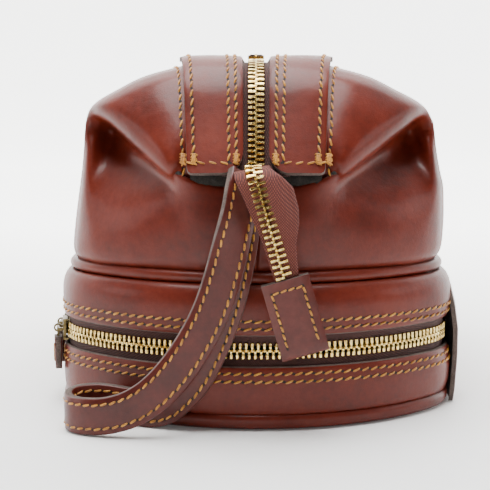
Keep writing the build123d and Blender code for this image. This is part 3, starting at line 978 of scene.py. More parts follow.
# ------------------------------------------------------------------ lower compartment
@dataclass
class LowerCompartment:
    """Base, tray wall, lid wall, wraparound zip, piping and back panel.

    Attributes:
        tray_profile: outward and height of the tray wall's closed profile.
        lid_profile: the same for the lid wall.
        base_profile: the same for the base's rolled edge.
        no_teeth: Y on the left side between which the two sliders hold the chain apart.
        setback: how far short of the round corner the walls, tapes and stitches end.
    """

    tray_profile: Sequence[tuple[float, float]] = (
        (-0.9, 5.9), (-0.1, 6.6), (0.35, 8.5), (0.75, 12.0), (0.8, 16.0), (0.45, 20.0), (0.15, 22.8),
        (-0.15, 23.9), (-0.7, 24.3), (-1.3, 24.25), (-1.75, 23.8), (-1.8, 15.0), (-1.8, 5.9))
    lid_profile: Sequence[tuple[float, float]] = (
        (-0.7, 35.7), (-0.15, 36.1), (0.15, 37.2), (0.45, 40.0), (0.8, 44.0), (0.7, 47.5), (0.1, 50.4),
        (-0.9, 52.6), (-2.2, 54.0), (-3.6, 54.5), (-4.8, 54.0), (-9.0, 53.6), (-9.0, 52.8), (-5.0, 52.4),
        (-2.4, 50.8), (-1.8, 47.5), (-1.8, 40.0), (-1.75, 36.2), (-1.3, 35.75))
    base_profile: Sequence[tuple[float, float]] = (
        (-1.6, 6.3), (-0.6, 6.2), (0.2, 5.4), (0.5, 4.0), (0.35, 2.5), (-0.4, 1.2), (-1.9, 0.35),
        (-4.5, 0.03),
        (-9.0, 0.0), (-9.0, 1.6), (-4.0, 1.7), (-2.6, 3.0), (-2.4, 6.2))
    no_teeth: tuple[float, float] = (-80.6, -71.3)
    setback: float = 8.0

    def base(self) -> None:
        """Makes the base leather with its rolled edge."""
        line = plan_line(SIZE.corner[1], closed=True)[:-1]
        sections = plan_sections(line, self.base_profile)
        shape = Shape()
        shape.loop_sweep(sections, closed=True)
        shape.cap(sections[:, 8], 0, flip=True)
        shape.cap(sections[:, 9], 0)
        settle(shape.build("base_leather", (Finish.LEATHER,)), "tray", ["base_panel"])

    def walls(self) -> None:
        """Makes the leather walls above and below the zip."""
        line = plan_line(SIZE.corner[1] - self.setback)
        raw = {"tray_leather": ("tray", self.tray_profile, (7, 8, 9), "tray_wall"),
               "lid_leather": ("upper_bag", self.lid_profile, (0, 17, 18), "lid_wall")}
        for name, (body, profile, edges, node) in raw.items():
            slots = [1 if n in edges else 0 for n in range(len(profile))]
            shape = Shape()
            shape.loop_sweep(plan_sections(line, profile, SIZE.waver), slots, cap_slot=1)
            piece = shape.build(name, (Finish.LEATHER, Finish.RAW_EDGE))
            settle(piece, body, [node])

    def tapes(self) -> None:
        """Makes the two zip tapes behind the teeth."""
        line = plan_line(SIZE.corner[1] - self.setback)
        outer, inner = -1.86, -2.34
        for part, body, low, high in (("tray", "tray", 15.5, 28.0), ("lid", "upper_bag", 32.0, 44.5)):
            profile = ((outer, low), (outer, (low + high) / 2), (outer, high), (inner, high), (inner, low))
            shape = Shape()
            shape.loop_sweep(plan_sections(line, profile))
            piece = shape.build(f"{part}_tape", (Finish.TAPE,))
            settle(piece, body, [f"{part}_zip_tape"])

    def has_tooth(self, spot: np.ndarray) -> bool:
        """Tells whether a place on the chain has a tooth."""
        return spot[0] > 0 or not self.no_teeth[0] < spot[1] < self.no_teeth[1]

    def zip_teeth(self) -> None:
        """Makes the two rows of teeth, open only between the two sliders."""
        line = plan_line(SIZE.corner[1] - 2.0)
        middle = place_on_plan(line, SIZE.chain_inset, SIZE.zip_z)
        outward = np.column_stack([line[:, 3:5], np.zeros(len(line))])
        length = float(np.linalg.norm(np.diff(middle, axis=0), axis=1).sum())
        up = np.tile([0.0, 0.0, 1.0], (len(line), 1))
        for part, body, sign, shift in (("tray", "tray", 1, 0.0), ("lid", "upper_bag", -1, SIZE.pitch / 2)):
            piece = teeth(f"{part}_teeth", middle, outward, up * sign, 1.0 + shift, length - 1.0,
                          self.has_tooth)
            settle(piece, body, [f"{part}_zip_teeth"])

    def stitches(self) -> None:
        """Sews the double rows on both sides of the zip."""
        line = plan_line(SIZE.corner[1] - self.setback)
        normals = np.column_stack([line[:, 3:5], np.zeros(len(line))])
        for name, body, rows in (("tray_stitches", "tray", ((21.6, -0.28), (18.7, -0.62))),
                                 ("lid_stitches", "upper_bag", ((38.4, -0.28), (41.3, -0.62)))):
            sewing = Stitching(twist=20.0)
            for z, inset in rows:
                wander = np.array([SIZE.waver * belly(z) * drift(n) for n in range(len(line))])
                points = place_on_plan(line, inset, z)
                points[:, :2] += wander[:, None] * line[:, 3:5]
                sewing.row(points, normals, 1.0, 1.0)
            sewing.build(name, body)

    def piping(self) -> None:
        """Makes the piping bead between the lid and the shell."""
        line = plan_line(SIZE.corner[1], closed=True)[:-1]
        ring = [(-SIZE.piping_inset + 0.6 + (SIZE.piping_radius + 0.2) * math.cos(a),
                 SIZE.piping_z + 0.1 + SIZE.piping_radius * math.sin(a))
                for a in np.linspace(0, 2 * math.pi, 14, endpoint=False)]
        shape = Shape()
        shape.loop_sweep(plan_sections(line, ring), closed=True)
        settle(shape.build("piping_bead", (Finish.LEATHER,)), "upper_bag", ["middle_piping"])

    def back_panel(self) -> None:
        """Makes the one-piece back panel, baked in place where it lies."""
        cy = SIZE.corner[1]
        rows = []
        radius = SIZE.corner_radius
        heights = np.concatenate([np.linspace(0.8, 22, 9), np.linspace(24, 36, 13), np.linspace(38, 53, 12)])
        for z in heights:
            swell = float(np.interp(z, (0, 5, 18, 30, 40, 48, 53), (2.0, 2.7, 3.5, 3.6, 2.2, 0.2, -2.4)))
            row = []
            for y in np.linspace(-cy - 9, cy + 9, 60):
                past = max(abs(y) - cy, 0)
                x = SIZE.half_width - (radius - math.sqrt(radius**2 - past**2))
                row.append((x + 0.9 + swell, y, z))
            rows.append(row)
        front = np.array(rows)
        back = front - np.array([1.8, 0, 0])
        shape = Shape()
        shape.grid(front, 0, flip=True)
        shape.grid(back, 2)
        shape.rim(front, back)
        piece = shape.build("back_panel", (Finish.LEATHER, Finish.RAW_EDGE, Finish.FLESH))
        bend(piece, ("tray", "upper_bag"),
             ["back_panel_lower", "back_panel_upper"])

    def build(self) -> None:
        """Makes every piece of the lower compartment."""
        self.base()
        self.walls()
        self.tapes()
        self.zip_teeth()
        self.stitches()
        self.piping()
        self.back_panel()


# ------------------------------------------------------------------ upper shell
@dataclass
class Shell:
    """Soft leather of one half of the upper bag, with its tucked, folded ends.

    Attributes:
        side: -1 for the left half, 1 for the right.
    """

    side: int

    @staticmethod
    def key_lines() -> list[list[Point]]:
        """Key lines of one quarter, from the middle of the near end to mid-length.

        Returns:
            Lines of points for the left half, each from the piping to under the band.
        """
        flat_side = [
            (-70.6, 58.0), (-72.8, 63.0), (-71.9, 74.0), (-70.0, 85.0), (-68.2, 95.0), (-67.4, 103.0),
            (-67.1, 109.0), (-66.4, 114.0), (-64.4, 118.0), (-60.6, 121.4), (-54.0, 125.2), (-43.0, 130.6),
            (-24.0, 135.6)]
        return [
            [(0, -121.6, 58), (0, -124.2, 63), (0, -124.8, 70), (0, -124.6, 78), (0, -123.6, 85),
             (0, -122.6, 88.4), (0, -121.6, 89.6), (0, -120.6, 89.2), (0, -120.0, 88), (0, -119.8, 86),
             (0, -119.8, 84), (0, -119.8, 82), (0, -119.8, 80)],
            [(-15, -120.6, 58), (-15, -123.4, 63), (-15, -124.1, 70), (-15, -124.0, 78), (-15, -123.0, 85),
             (-15, -122.2, 89.0), (-15, -121.2, 90.4), (-15, -120.2, 90.0), (-15, -119.6, 88.4),
             (-15, -119.2, 86.5),
             (-15, -119, 84), (-15, -119, 82), (-15, -119, 80)],
            [(-25, -118.2, 58), (-25, -120.6, 63), (-25.3, -121.3, 70), (-25.6, -121.3, 78),
             (-25.8, -121.2, 85),
             (-26.4, -121.4, 89.6), (-27.2, -121.8, 92.6), (-27.8, -121.4, 94.4), (-27.6, -120.4, 94.6),
             (-27, -119.4, 93.4), (-26, -118.6, 91.5), (-25, -118, 89), (-24, -118, 86)],
            [(-33, -115.2, 58), (-33.5, -117.4, 63), (-34, -117.8, 74), (-34.2, -116.4, 83),
             (-33.8, -114.4, 88.5),
             (-33.4, -113.0, 91.6), (-33.2, -114.5, 93.6), (-33.0, -118.5, 94.2), (-32.6, -121.8, 96.0),
             (-31.8, -123.0, 98.8), (-30.0, -122.8, 100.9), (-26.5, -121.2, 103.0), (-20, -119.4, 104.2)],
            [(-45, -109.8, 58), (-46.6, -111.8, 63), (-47.8, -111.0, 74), (-48.0, -107.4, 84),
             (-47.2, -101.4, 92),
             (-46.4, -95.5, 98.5), (-46.2, -96.5, 102.6), (-46.2, -104.0, 103.6), (-45.4, -110.6, 105.6),
             (-43.2, -113.2, 109.6), (-39.0, -114.2, 113.0), (-32.0, -114.4, 116.4), (-22, -113.0, 117.6)],
            [(-57.5, -102, 58), (-59.6, -103.4, 63), (-60.6, -101.8, 74), (-60.6, -98.0, 85),
             (-59.6, -91.0, 95),
             (-58.0, -81.5, 103), (-57.0, -79.0, 108.6), (-57.0, -88.0, 111.6), (-56.6, -98.0, 113.2),
             (-54.2, -103.2, 117.0), (-47.0, -104.6, 121.4), (-36.0, -105.6, 126.4), (-23, -105.0, 128.8)],
            [(-64.4, -95.2, 58), (-66.8, -96.4, 63), (-67.0, -95.4, 74), (-66.2, -94.0, 85),
             (-65.0, -91.6, 95),
             (-63.6, -87.6, 104), (-62.4, -84.0, 109.6), (-62.0, -86.0, 113.4), (-62.0, -91.4, 115.6),
             (-60.0, -96.8, 119.0), (-53.0, -98.6, 123.2), (-40.0, -99.6, 129.2), (-24, -99.2, 133)],
            [(-68.6, -88.4, 58), (-70.9, -89.5, 63), (-70.2, -89.0, 74), (-68.8, -88.4, 85),
             (-67.4, -87.6, 95),
             (-66.6, -86.4, 103), (-66.2, -85.8, 108.5), (-65.8, -86.0, 113.0), (-64.8, -87.6, 117.0),
             (-61.4, -90.0, 120.6), (-54.0, -91.6, 124.8), (-42.0, -92.8, 130.4), (-24, -92.6, 135)],
            *[[(x, y, z) for x, z in flat_side] for y in (-80, -48, 0)],
        ]

    def surface(self) -> np.ndarray:
        """The outer surface of the half as one sheet.

        Returns:
            Array of lines of points, from the near end to the far end.
        """
        up_steps, round_steps = 6, 8
        across = np.array([smooth_line(key, up_steps) for key in self.key_lines()])
        lines = np.array([smooth_line(across[:, v], round_steps) for v in range(across.shape[1])])
        quarter = lines.transpose(1, 0, 2)
        far = quarter[::-1][1:] * np.array([1.0, -1.0, 1.0])
        whole = np.vstack([quarter, far])
        whole[:, :, 0] *= -self.side
        if self.side > 0:
            bulge = np.interp(whole[:, :, 2], (58, 64, 88, 112, 125), (1.0, 1.012, 1.055, 1.04, 1.0))
            free = np.clip((whole[:, :, 0] - 34) / 20, 0, 1)
            whole[:, :, 0] *= 1 + (bulge - 1) * free
        return self.fold(whole)

    def fold(self, sheet: np.ndarray) -> np.ndarray:
        """Adds soft folds that hang from the shoulders.

        Args:
            sheet: lines of points.

        Returns:
            The sheet with its folds.
        """
        ramp = np.clip((sheet[:, :, 2] - 60) / 25, 0, 1) * np.clip((122 - sheet[:, :, 2]) / 25, 0, 1)
        length = sheet[:, :1, 1]
        wave = np.sin(length * 0.085 + 0.7 * self.side + sheet[:, :, 2] * 0.02) * 0.6
        wave += np.sin(length * 0.19 + 2.0 * self.side - sheet[:, :, 2] * 0.05) * 0.35
        calm = np.clip((np.abs(sheet[:, :, 0]) - 34) / 20, 0, 1)
        sheet[:, :, 0] += self.side * ramp * wave * calm
        return sheet

    def build(self) -> BVHTree:
        """Makes the half shell, lined inside, baked in place where it lies.

        Returns:
            A search tree of its outer surface, in millimetres.
        """
        name = "left" if self.side < 0 else "right"
        sheet = self.surface()
        shape = Shape()
        shape.grid(sheet, 0, flip=self.side < 0)
        piece = shape.build(f"{name}_shell", (Finish.LEATHER, Finish.LINING, Finish.RAW_EDGE))
        thicken(piece, 1.4, -1.0, inner=1, rim=2)
        nodes = [f"{name}_shoulder", f"near_{name}_gusset", f"far_{name}_gusset"]
        if self.side < 0:
            nodes += ["body_wall", "near_end_panel", "far_end_panel"]
        bend(piece, ("upper_bag", f"{name}_mouth"), nodes)
        return BVHTree.FromPolygons([tuple(c) for c in shape.corners], shape.faces)


def drop(skin: BVHTree, point: np.ndarray, normal: np.ndarray) -> tuple[np.ndarray, np.ndarray]:
    """Lets a point fall on the leather.

    Args:
        skin: the leather's search tree.
        point: a point above it.
        normal: direction away from the leather.

    Returns:
        The place on the leather and its outward direction.
    """
    start = point + normal * 8.0
    place, way, _, distance = skin.ray_cast(Vector(start), Vector(-normal))
    if place is None or distance > 16.0:
        return point - normal * 1.5, normal
    facing = np.array(way) if float(np.dot(way, normal)) > 0 else -np.array(way)
    return np.array(place), unit(facing)


# ------------------------------------------------------------------ mouth
def mouth_line(depth: float, step: float = 1.5) -> np.ndarray:
    """The mouth seen from the side, from the near tip over the top to the far tip.

    Args:
        depth: distance under the band's outer face.
        step: distance between samples.

    Returns:
        Rows of y, z and the outward direction's y and z.
    """
    radius = SIZE.mouth_radius - depth
    centre = SIZE.mouth_top_z - SIZE.mouth_radius
    turn = SIZE.mouth_turn
    rows = []
    tip_y = SIZE.mouth_straight + radius * math.sin(turn) + SIZE.mouth_arm * math.cos(turn)
    tip_z = centre + radius * math.cos(turn) - SIZE.mouth_arm * math.sin(turn)
    for share in np.linspace(0, 1, int(SIZE.mouth_arm / step)):
        done = share * SIZE.mouth_arm
        rows.append((-(tip_y - done * math.cos(turn)), tip_z + done * math.sin(turn),
                     -math.sin(turn), math.cos(turn)))
    for angle in np.linspace(turn, 0, int(SIZE.mouth_radius * turn / step))[1:]:
        rows.append((-(SIZE.mouth_straight + radius * math.sin(angle)), centre + radius * math.cos(angle),
                     -math.sin(angle), math.cos(angle)))
    top = np.linspace(-SIZE.mouth_straight, 0, int(SIZE.mouth_straight / (2 * step)))[1:]
    rows += [(y, SIZE.mouth_top_z - depth, 0.0, 1.0) for y in top]
    near = np.array(rows)
    far = near[::-1][1:] * np.array([-1, 1, -1, 1])
    return np.vstack([near, far])


@dataclass
class MouthHalf:
    """One half of the framed mouth: band, tape, teeth, facing and stitching.

    Attributes:
        side: -1 for the left half, 1 for the right.
        teeth_end: Y of the top slider, where the closed chain ends.
    """

    side: int
    teeth_end: float = 81.8

    @property
    def name(self) -> str:
        """Left or right."""
        return "left" if self.side < 0 else "right"

    @property
    def body(self) -> str:
        """The CAD body of this half."""
        return f"{self.name}_mouth"

    def at(self, x: float, depth: float) -> tuple[np.ndarray, np.ndarray]:
        """Line along the mouth at a distance from its middle.

        Args:
            x: distance from the middle.
            depth: distance under the band's outer face.

        Returns:
            Points and outward directions.
        """
        line = mouth_line(depth)
        past = np.clip((np.abs(line[:, 0]) - SIZE.mouth_straight + 12) / 52, 0, 1)
        points = np.column_stack([self.side * x * (1.03 - 0.19 * past), line[:, 0], line[:, 1]])
        normals = np.column_stack([np.zeros(len(line)), line[:, 2], line[:, 3]])
        return points, normals

    def band(self) -> None:
        """Makes the leather band, padded between its stitches, with rounded ends and raw edges."""
        width = SIZE.band_to - SIZE.band_from
        shares = np.array([0, 0.012, 0.04, 0.1, 0.2, 0.32, 0.45, 0.58, 0.7, 0.8, 0.88, 0.94, 0.98, 1.0])
        outer, inner = [], []
        for share in shares:
            x = SIZE.band_from + width * share
            edge = min(share, 1 - share)
            worn = 1 - edge / 0.04 if edge < 0.04 else 0
            crown = 0.45 * math.sin(math.pi * share) - 0.25 * worn
            trim = self.trim(x - SIZE.band_from, 9.0) + self.trim(SIZE.band_to - x, 2.2)
            points, normals = self.at(x, 0.0)
            flat = evenly(np.hstack([points, normals]), 1.5, trim, trim)
            outer.append(flat[:, :3] + flat[:, 3:6] * crown)
            under, _ = self.at(x, 1.9)
            inner.append(evenly(under, 1.5, trim, trim))
        count = min(len(line) for line in outer + inner)
        outer = [self.resize(line, count) for line in outer]
        inner = [self.resize(line, count) for line in inner]
        front, back = np.array(outer), np.array(inner)
        shape = Shape()
        shape.grid(front, 0, flip=self.side < 0)
        shape.grid(back, 2, flip=self.side > 0)
        shape.rim(front, back, flip=self.side > 0)
        piece = shape.build(f"{self.name}_band_leather", (Finish.LEATHER, Finish.RAW_EDGE, Finish.FLESH))
        settle(piece, self.body, [f"{self.name}_band"])

    @staticmethod
    def trim(distance: float, radius: float) -> float:
        """How much a rounded corner takes off the end of a line beside an edge.

        Args:
            distance: of the line from the edge.
            radius: of the corner.

        Returns:
            The length taken off.
        """
        if distance >= radius:
            return 0.0
        return radius - math.sqrt(radius**2 - (radius - distance) ** 2)

    @staticmethod
    def resize(line: np.ndarray, count: int) -> np.ndarray:
        """Resamples a line to a number of points.

        Args:
            line: rows of points.
            count: how many points.

        Returns:
            Rows of points.
        """
        gaps = np.linalg.norm(np.diff(line, axis=0), axis=1)
        travelled = np.concatenate([[0.0], np.cumsum(gaps)])
        marks = np.linspace(0, travelled[-1], count)
        return np.column_stack([np.interp(marks, travelled, line[:, c]) for c in range(3)])

    def tape(self) -> None:
        """Makes the zip tape under the band's inner edge."""
        inner, outer, over, under = 0.25, 14.4, 2.4, 2.9
        corners = [(inner, over), (outer, over), (outer, under), (inner, under)]
        sections = np.array([self.at(x, depth)[0] for x, depth in corners]).transpose(1, 0, 2)
        shape = Shape()
        shape.loop_sweep(sections[:, ::self.side])
        settle(shape.build(f"{self.name}_mouth_tape", (Finish.TAPE,)), self.body,
               [f"{self.name}_zip_tape"])

    def facing(self) -> None:
        """Makes the cloth facing inside the frame."""
        sections = []
        for x, depth in ((5.5, 4.2), (14, 4.05), (23.0, 4.2), (23.0, 4.9), (14, 4.8), (5.5, 4.9)):
            points, _ = self.at(x, depth)
            sections.append(points[np.abs(points[:, 1]) < 110])
        count = min(len(s) for s in sections)
        rows = np.array([self.resize(s, count) for s in sections]).transpose(1, 0, 2)
        shape = Shape()
        shape.loop_sweep(rows[:, ::self.side])
        settle(shape.build(f"{self.name}_mouth_facing", (Finish.LINING,)), self.body,
               [f"{self.name}_facing"])

    def zip_teeth(self) -> None:
        """Makes the row of teeth up to the slider."""
        points, normals = self.at(0.0, SIZE.chain_depth)
        toward = np.tile([-float(self.side), 0.0, 0.0], (len(points), 1))
        first = 0.8 + (0 if self.side < 0 else SIZE.pitch / 2)
        length = float(np.linalg.norm(np.diff(points, axis=0), axis=1).sum())
        piece = teeth(f"{self.name}_mouth_teeth", points, normals, toward, first, length,
                      lambda spot: spot[1] < self.teeth_end)
        settle(piece, self.body, [f"{self.name}_zip_teeth"])

    def stitches(self, skin: BVHTree) -> None:
        """Sews the band: two rows by the zip, one by the outer edge, one across each end, and tacks.

        Args:
            skin: the body leather, which the outermost row lies on.
        """
        sewing = Stitching(twist=18.0 * self.side)
        for x, trim in ((SIZE.band_from + 2.9, 6.0), (SIZE.band_from + 6.0, 4.4), (SIZE.band_to - 3.0, 3.9)):
            points, normals = self.at(x, -0.3)
            sewing.row(points, normals, trim, trim)
        points, normals = self.at(SIZE.band_to + 1.9, 0.0)
        landed = [drop(skin, point, normal) for point, normal in zip(points, normals)]
        sewing.row(np.array([spot for spot, _ in landed]), np.array([way for _, way in landed]), 1.5, 1.5)
        for index in (0, -1):
            sample, normal = self.at(SIZE.band_from, -0.25)
            spots = evenly(np.hstack([sample, normal]), 1.0)
            spot = spots[4] if index == 0 else spots[-5]
            narrow = abs(spot[0]) / SIZE.band_from
            xs = np.linspace(SIZE.band_from + 5.6, SIZE.band_to + 1.2, 12) * narrow
            across = np.array([(self.side * x, spot[1], spot[2]) for x in xs])
            sewing.row(across, np.tile(spot[3:6], (len(xs), 1)))
            along = np.array([0.0, spot[5], -spot[4]])
            for x in (SIZE.band_from + 2.9, SIZE.band_to - 3.0, SIZE.band_to + 1.6):
                at = spot[:3].copy()
                at[0] = self.side * x * narrow
                sewing.tack(at + along * (1.5 if index == 0 else -1.5), along, spot[3:6])
        sewing.build(f"{self.name}_band_stitches", self.body)

    def build(self, skin: BVHTree) -> None:
        """Makes every piece of this half.

        Args:
            skin: the body leather below the band.
        """
        self.band()
        self.tape()
        self.facing()
        self.zip_teeth()
        self.stitches(skin)


def end_linings() -> None:
    """Makes the dark, frayed lining edge between each end's lip and each band."""
    levels = ((-119.4, 84.0), (-120.6, 89.0), (-121.6, 91.5), (-122.4, 93.6), (-121.0, 97.0), (-118.0, 101.0))
    for name, end in (("near", -1), ("far", 1)):
        for side, half in ((-1, "left"), (1, "right")):
            rows = [[(x, end * -1 * (y + 0.5 * math.sin(x * 0.9 + z)), z + 0.7 * math.sin(x * 1.7 + z))
                     for x in np.linspace(0, 24 * side, 40)] for y, z in levels]
            shape = Shape()
            shape.grid(np.array(rows), 0, flip=(end > 0) ^ (side < 0))
            piece = shape.build(f"{name}_{half}_end_lining", (Finish.FRAY,))
            bend(piece, ("upper_bag", f"{half}_mouth"))


# ------------------------------------------------------------------ zip tail
@dataclass
class ZipTail:
    """Loose tail of the top zip: two tapes, closed teeth and a folded, sewn leather tab.

    Attributes:
        path: Y and Z of the upright tail, before it leans.
        levels: heights at which the tape's widths are given.
        widths: width of the left and right tape at each level.
        lean: how far it leans to the right, in radians.
        root: where it leans from, in X and Z.
    """

    path: Sequence[tuple[float, float]] = (
        (-124.6, 96.0), (-128.2, 97.3), (-133.2, 96.6), (-137.0, 92.6), (-138.9, 83.0), (-139.6, 70.0),
        (-139.8, 57.0))
    levels: Sequence[float] = (57, 68, 75, 80, 88, 93, 97.5)
    widths: Sequence[Sequence[float]] = (
        (3.6, 3.8, 4.2, 5.2, 6.0, 6.8, 7.4), (5.2, 7.2, 10.3, 11.6, 11.8, 8.6, 5.6))
    lean: float = math.radians(16.0)
    root: tuple[float, float] = (-1.0, 97.6)

    def leaned(self, points: np.ndarray) -> np.ndarray:
        """Leans upright points.

        Args:
            points: rows of points.

        Returns:
            Rows of points.
        """
        c, s = math.cos(self.lean), math.sin(self.lean)
        down = points[..., 2] - self.root[1]
        fade = np.clip(-down / 8 + 0.4, 0, 1)
        x = points[..., 0]
        turned_x = self.root[0] + x * c - down * s
        turned_z = self.root[1] + x * s + down * c
        plain_x = self.root[0] + x
        return np.stack([plain_x * (1 - fade) + turned_x * fade, points[..., 1],
                         points[..., 2] * (1 - fade) + turned_z * fade], axis=-1)

    def build(self) -> None:
        """Makes the tail."""
        middle = smooth_line([(0, y, z) for y, z in self.path], 8)
        ways = unit(np.gradient(middle, axis=0))
        front = np.cross(ways, np.array([1.0, 0.0, 0.0]))
        shape = Shape()
        for side in (-1, 1):
            rows = []
            for place, face in zip(middle, front):
                height = place[2]
                flare = math.exp(-((height - 84) / 11) ** 2)
                wide = float(np.interp(height, self.levels, self.widths[side > 0]))
                xs = np.linspace(0.3, wide, 9)
                wave = [1.6 * flare * math.sin((x - 1.3) * 0.42) * side for x in xs]
                rows.append([place + np.array([side * x, 0, 0]) + face * w for x, w in zip(xs, wave)])
            sheet = self.leaned(np.array(rows))
            shape.grid(sheet, 0, flip=side < 0)
        tape = shape.build("tail_tapes", (Finish.TAIL_TAPE,))
        thicken(tape, 0.5, 0.0)
        settle(tape, "zip_tail", ["tail_tape"])
        self.teeth(middle, front)
        self.tab()

    def teeth(self, middle: np.ndarray, front: np.ndarray) -> None:
        """Makes both rows of teeth.

        Args:
            middle: middle line of the upright tail.
            front: the face direction at each point.
        """
        leaned = self.leaned(middle)
        ways = unit(np.gradient(leaned, axis=0))
        faces = unit(front - ways * np.sum(front * ways, axis=1, keepdims=True))
        length = float(np.linalg.norm(np.diff(leaned, axis=0), axis=1).sum())
        rows = []
        for side in (-1, 1):
            toward = np.cross(faces, ways) * -side
            if toward[len(toward) // 2][0] * -side < 0:
                toward = -toward
            first = 1.0 if side < 0 else 1.0 + SIZE.pitch / 2
            name = f"tail_teeth_{'left' if side < 0 else 'right'}"
            rows.append(teeth(name, leaned, faces, toward, first, length - 0.5))
        settle(rows[0], "zip_tail", ["tail_teeth"])
        settle(rows[1], "zip_tail")

    def tab(self) -> None:
        """Makes the folded tab: two layers with a round fold at the bottom and raw edges."""
        top, low, half, thick, middle = 57.2, 28.8, 8.7, 1.9, -139.6
        outline = []
        for z in np.linspace(top, low + thick, 12):
            outline.append((-thick, z))
        for angle in np.linspace(0, math.pi, 9)[1:-1]:
            outline.append((-thick * math.cos(angle), low + thick - thick * math.sin(angle)))
        for z in np.linspace(low + thick, top, 12):
            outline.append((thick, z))
        inner = [(y * 0.22, max(z, low + 2.4)) for y, z in outline]
        xs = (-half, -half + 0.35, -half * 0.6, -half * 0.2, half * 0.2, half * 0.6, half - 0.35, half)
        outside, inside = [], []
        for x in xs:
            rim = 0.88 if abs(x) > half - 0.2 else 1.0
            puff = 1.0 + 0.10 * math.cos(x / half * math.pi / 2)
            outside.append([(x, middle + y * rim * puff, z) for y, z in outline])
            inside.append([(x, middle + y, z) for y, z in inner])
        front = self.leaned(np.array(outside))
        back = self.leaned(np.array(inside))
        shape = Shape()
        shape.grid(front, 0)
        shape.grid(back, 1, flip=True)
        shape.rim(front, back, flip=True, halfway=False)
        settle(shape.build("tail_tab_leather", (Finish.STRAP_LEATHER, Finish.RAW_EDGE)), "zip_tail",
               ["tail_tab"])
        sewing = Stitching(pitch=3.0, radius=0.36, twist=10.0)
        path = [(-5.7, 33.4), (-5.7, 53.6), (5.7, 53.6), (5.7, 33.4)]
        face = self.leaned(np.array([(0, -1.0, 45.0), (0, 0.0, 45.0)]))
        normal = unit(face[0] - face[1])
        for a, b in zip(path[:-1], path[1:]):
            xs = np.linspace(a[0], b[0], 10)
            zs = np.linspace(a[1], b[1], 10)
            points = np.array([(x, middle - thick * 1.08, z) for x, z in zip(xs, zs)])
            sewing.row(self.leaned(points), np.tile(normal, (10, 1)))
        sewing.build("tail_tab_stitches", "zip_tail")


# ------------------------------------------------------------------ wrist strap
@dataclass
class WristStrap:
    """Flat stitched loop that hangs from the near end and stands on its edge on the floor.

    Attributes:
        path: points of its middle line, down the front run and back up behind it.
        width: of the strap.
        thick: both layers together.
    """

    path: Sequence[Point] = (
        (-4.4, -125.6, 94.0), (-5.0, -130.0, 89.6), (-5.8, -132.0, 84.0), (-7.8, -133.6, 75.0),
        (-12.2, -134.8, 58.0), (-16.6, -135.6, 45.5), (-22.1, -136.4, 35.0), (-28.6, -137.0, 25.4),
        (-36.1, -137.2, 17.2), (-44.3, -136.6, 11.4),
        (-53.4, -135.4, 8.2), (-62.0, -132.8, 7.2), (-67.8, -128.6, 7.1), (-69.4, -123.4, 7.8),
        (-66.4, -118.8, 8.6),
        (-59.0, -117.0, 8.8), (-49.0, -118.6, 7.8), (-40.0, -121.4, 6.8), (-33.4, -124.2, 8.8),
        (-28.6, -125.6, 12.9), (-22.6, -127.0, 20.2), (-16.4, -128.0, 32.4), (-11.6, -128.6, 45.4),
        (-7.8, -129.0, 60.0), (-5.2, -128.8, 76.0), (-4.0, -127.0, 86.0), (-3.6, -125.0, 91.0))
    width: float = 13.4
    thick: float = 3.3

    def frames(self) -> tuple[np.ndarray, np.ndarray, np.ndarray]:
        """Places along the strap.

        Returns:
            Points, width directions, and directions out of the loop.
        """
        line = evenly(smooth_line(self.path, 8), 1.6)
        ways = unit(np.gradient(line, axis=0))
        flat = unit(np.column_stack([ways[:, 0], ways[:, 1], np.zeros(len(ways))]))
        out = np.column_stack([flat[:, 1], -flat[:, 0], np.zeros(len(ways))]) * -1
        # The steep top of each run keeps the direction that it has just below.
        high = line[:, 2] > 78
        first_run = np.arange(len(line)) < len(line) // 2
        for part in (high & first_run, high & ~first_run):
            edge = np.flatnonzero(part)
            out[part] = out[edge[-1] + 1 if edge[0] == 0 else edge[0] - 1]
        for _ in range(12):
            out[1:-1] = unit(out[:-2] + out[1:-1] + out[2:])
        out = unit(out - ways * np.sum(out * ways, axis=1, keepdims=True))
        wide = np.cross(ways, out)
        return line, wide, out

    def build(self) -> None:
        """Makes the strap and its stitches."""
        line, wide, out = self.frames()
        half, depth = self.width / 2, self.thick / 2
        profile = [(-half, -0.75 * depth), (-half + 0.4, -depth), (0, -depth * 1.05), (half - 0.4, -depth),
                   (half, -0.75 * depth), (half, 0.75 * depth), (half - 0.4, depth),
                   (half * 0.5, depth * 1.08), (-half * 0.5, depth * 1.08),
                   (-half + 0.4, depth), (-half, 0.75 * depth)]
        slots = [0, 0, 0, 0, 1, 0, 0, 0, 0, 0, 1]
        sections = np.array([[p + w * a + o * b for a, b in profile] for p, w, o in zip(line, wide, out)])
        shape = Shape()
        shape.loop_sweep(sections, slots, cap_slot=1)
        piece = shape.build("strap_leather", (Finish.STRAP_LEATHER, Finish.RAW_EDGE))
        settle(piece, "wrist_strap", ["strap_face", "strap_backing"])
        sewing = Stitching(pitch=3.5, radius=0.4, twist=12.0)
        for across in (-half + 2.3, half - 2.3):
            for face in (1, -1):
                points = line + wide * across + out * (face * depth * 1.03)
                sewing.row(points, out * face, 3.0, 3.0)
        sewing.build("strap_stitches", "wrist_strap")


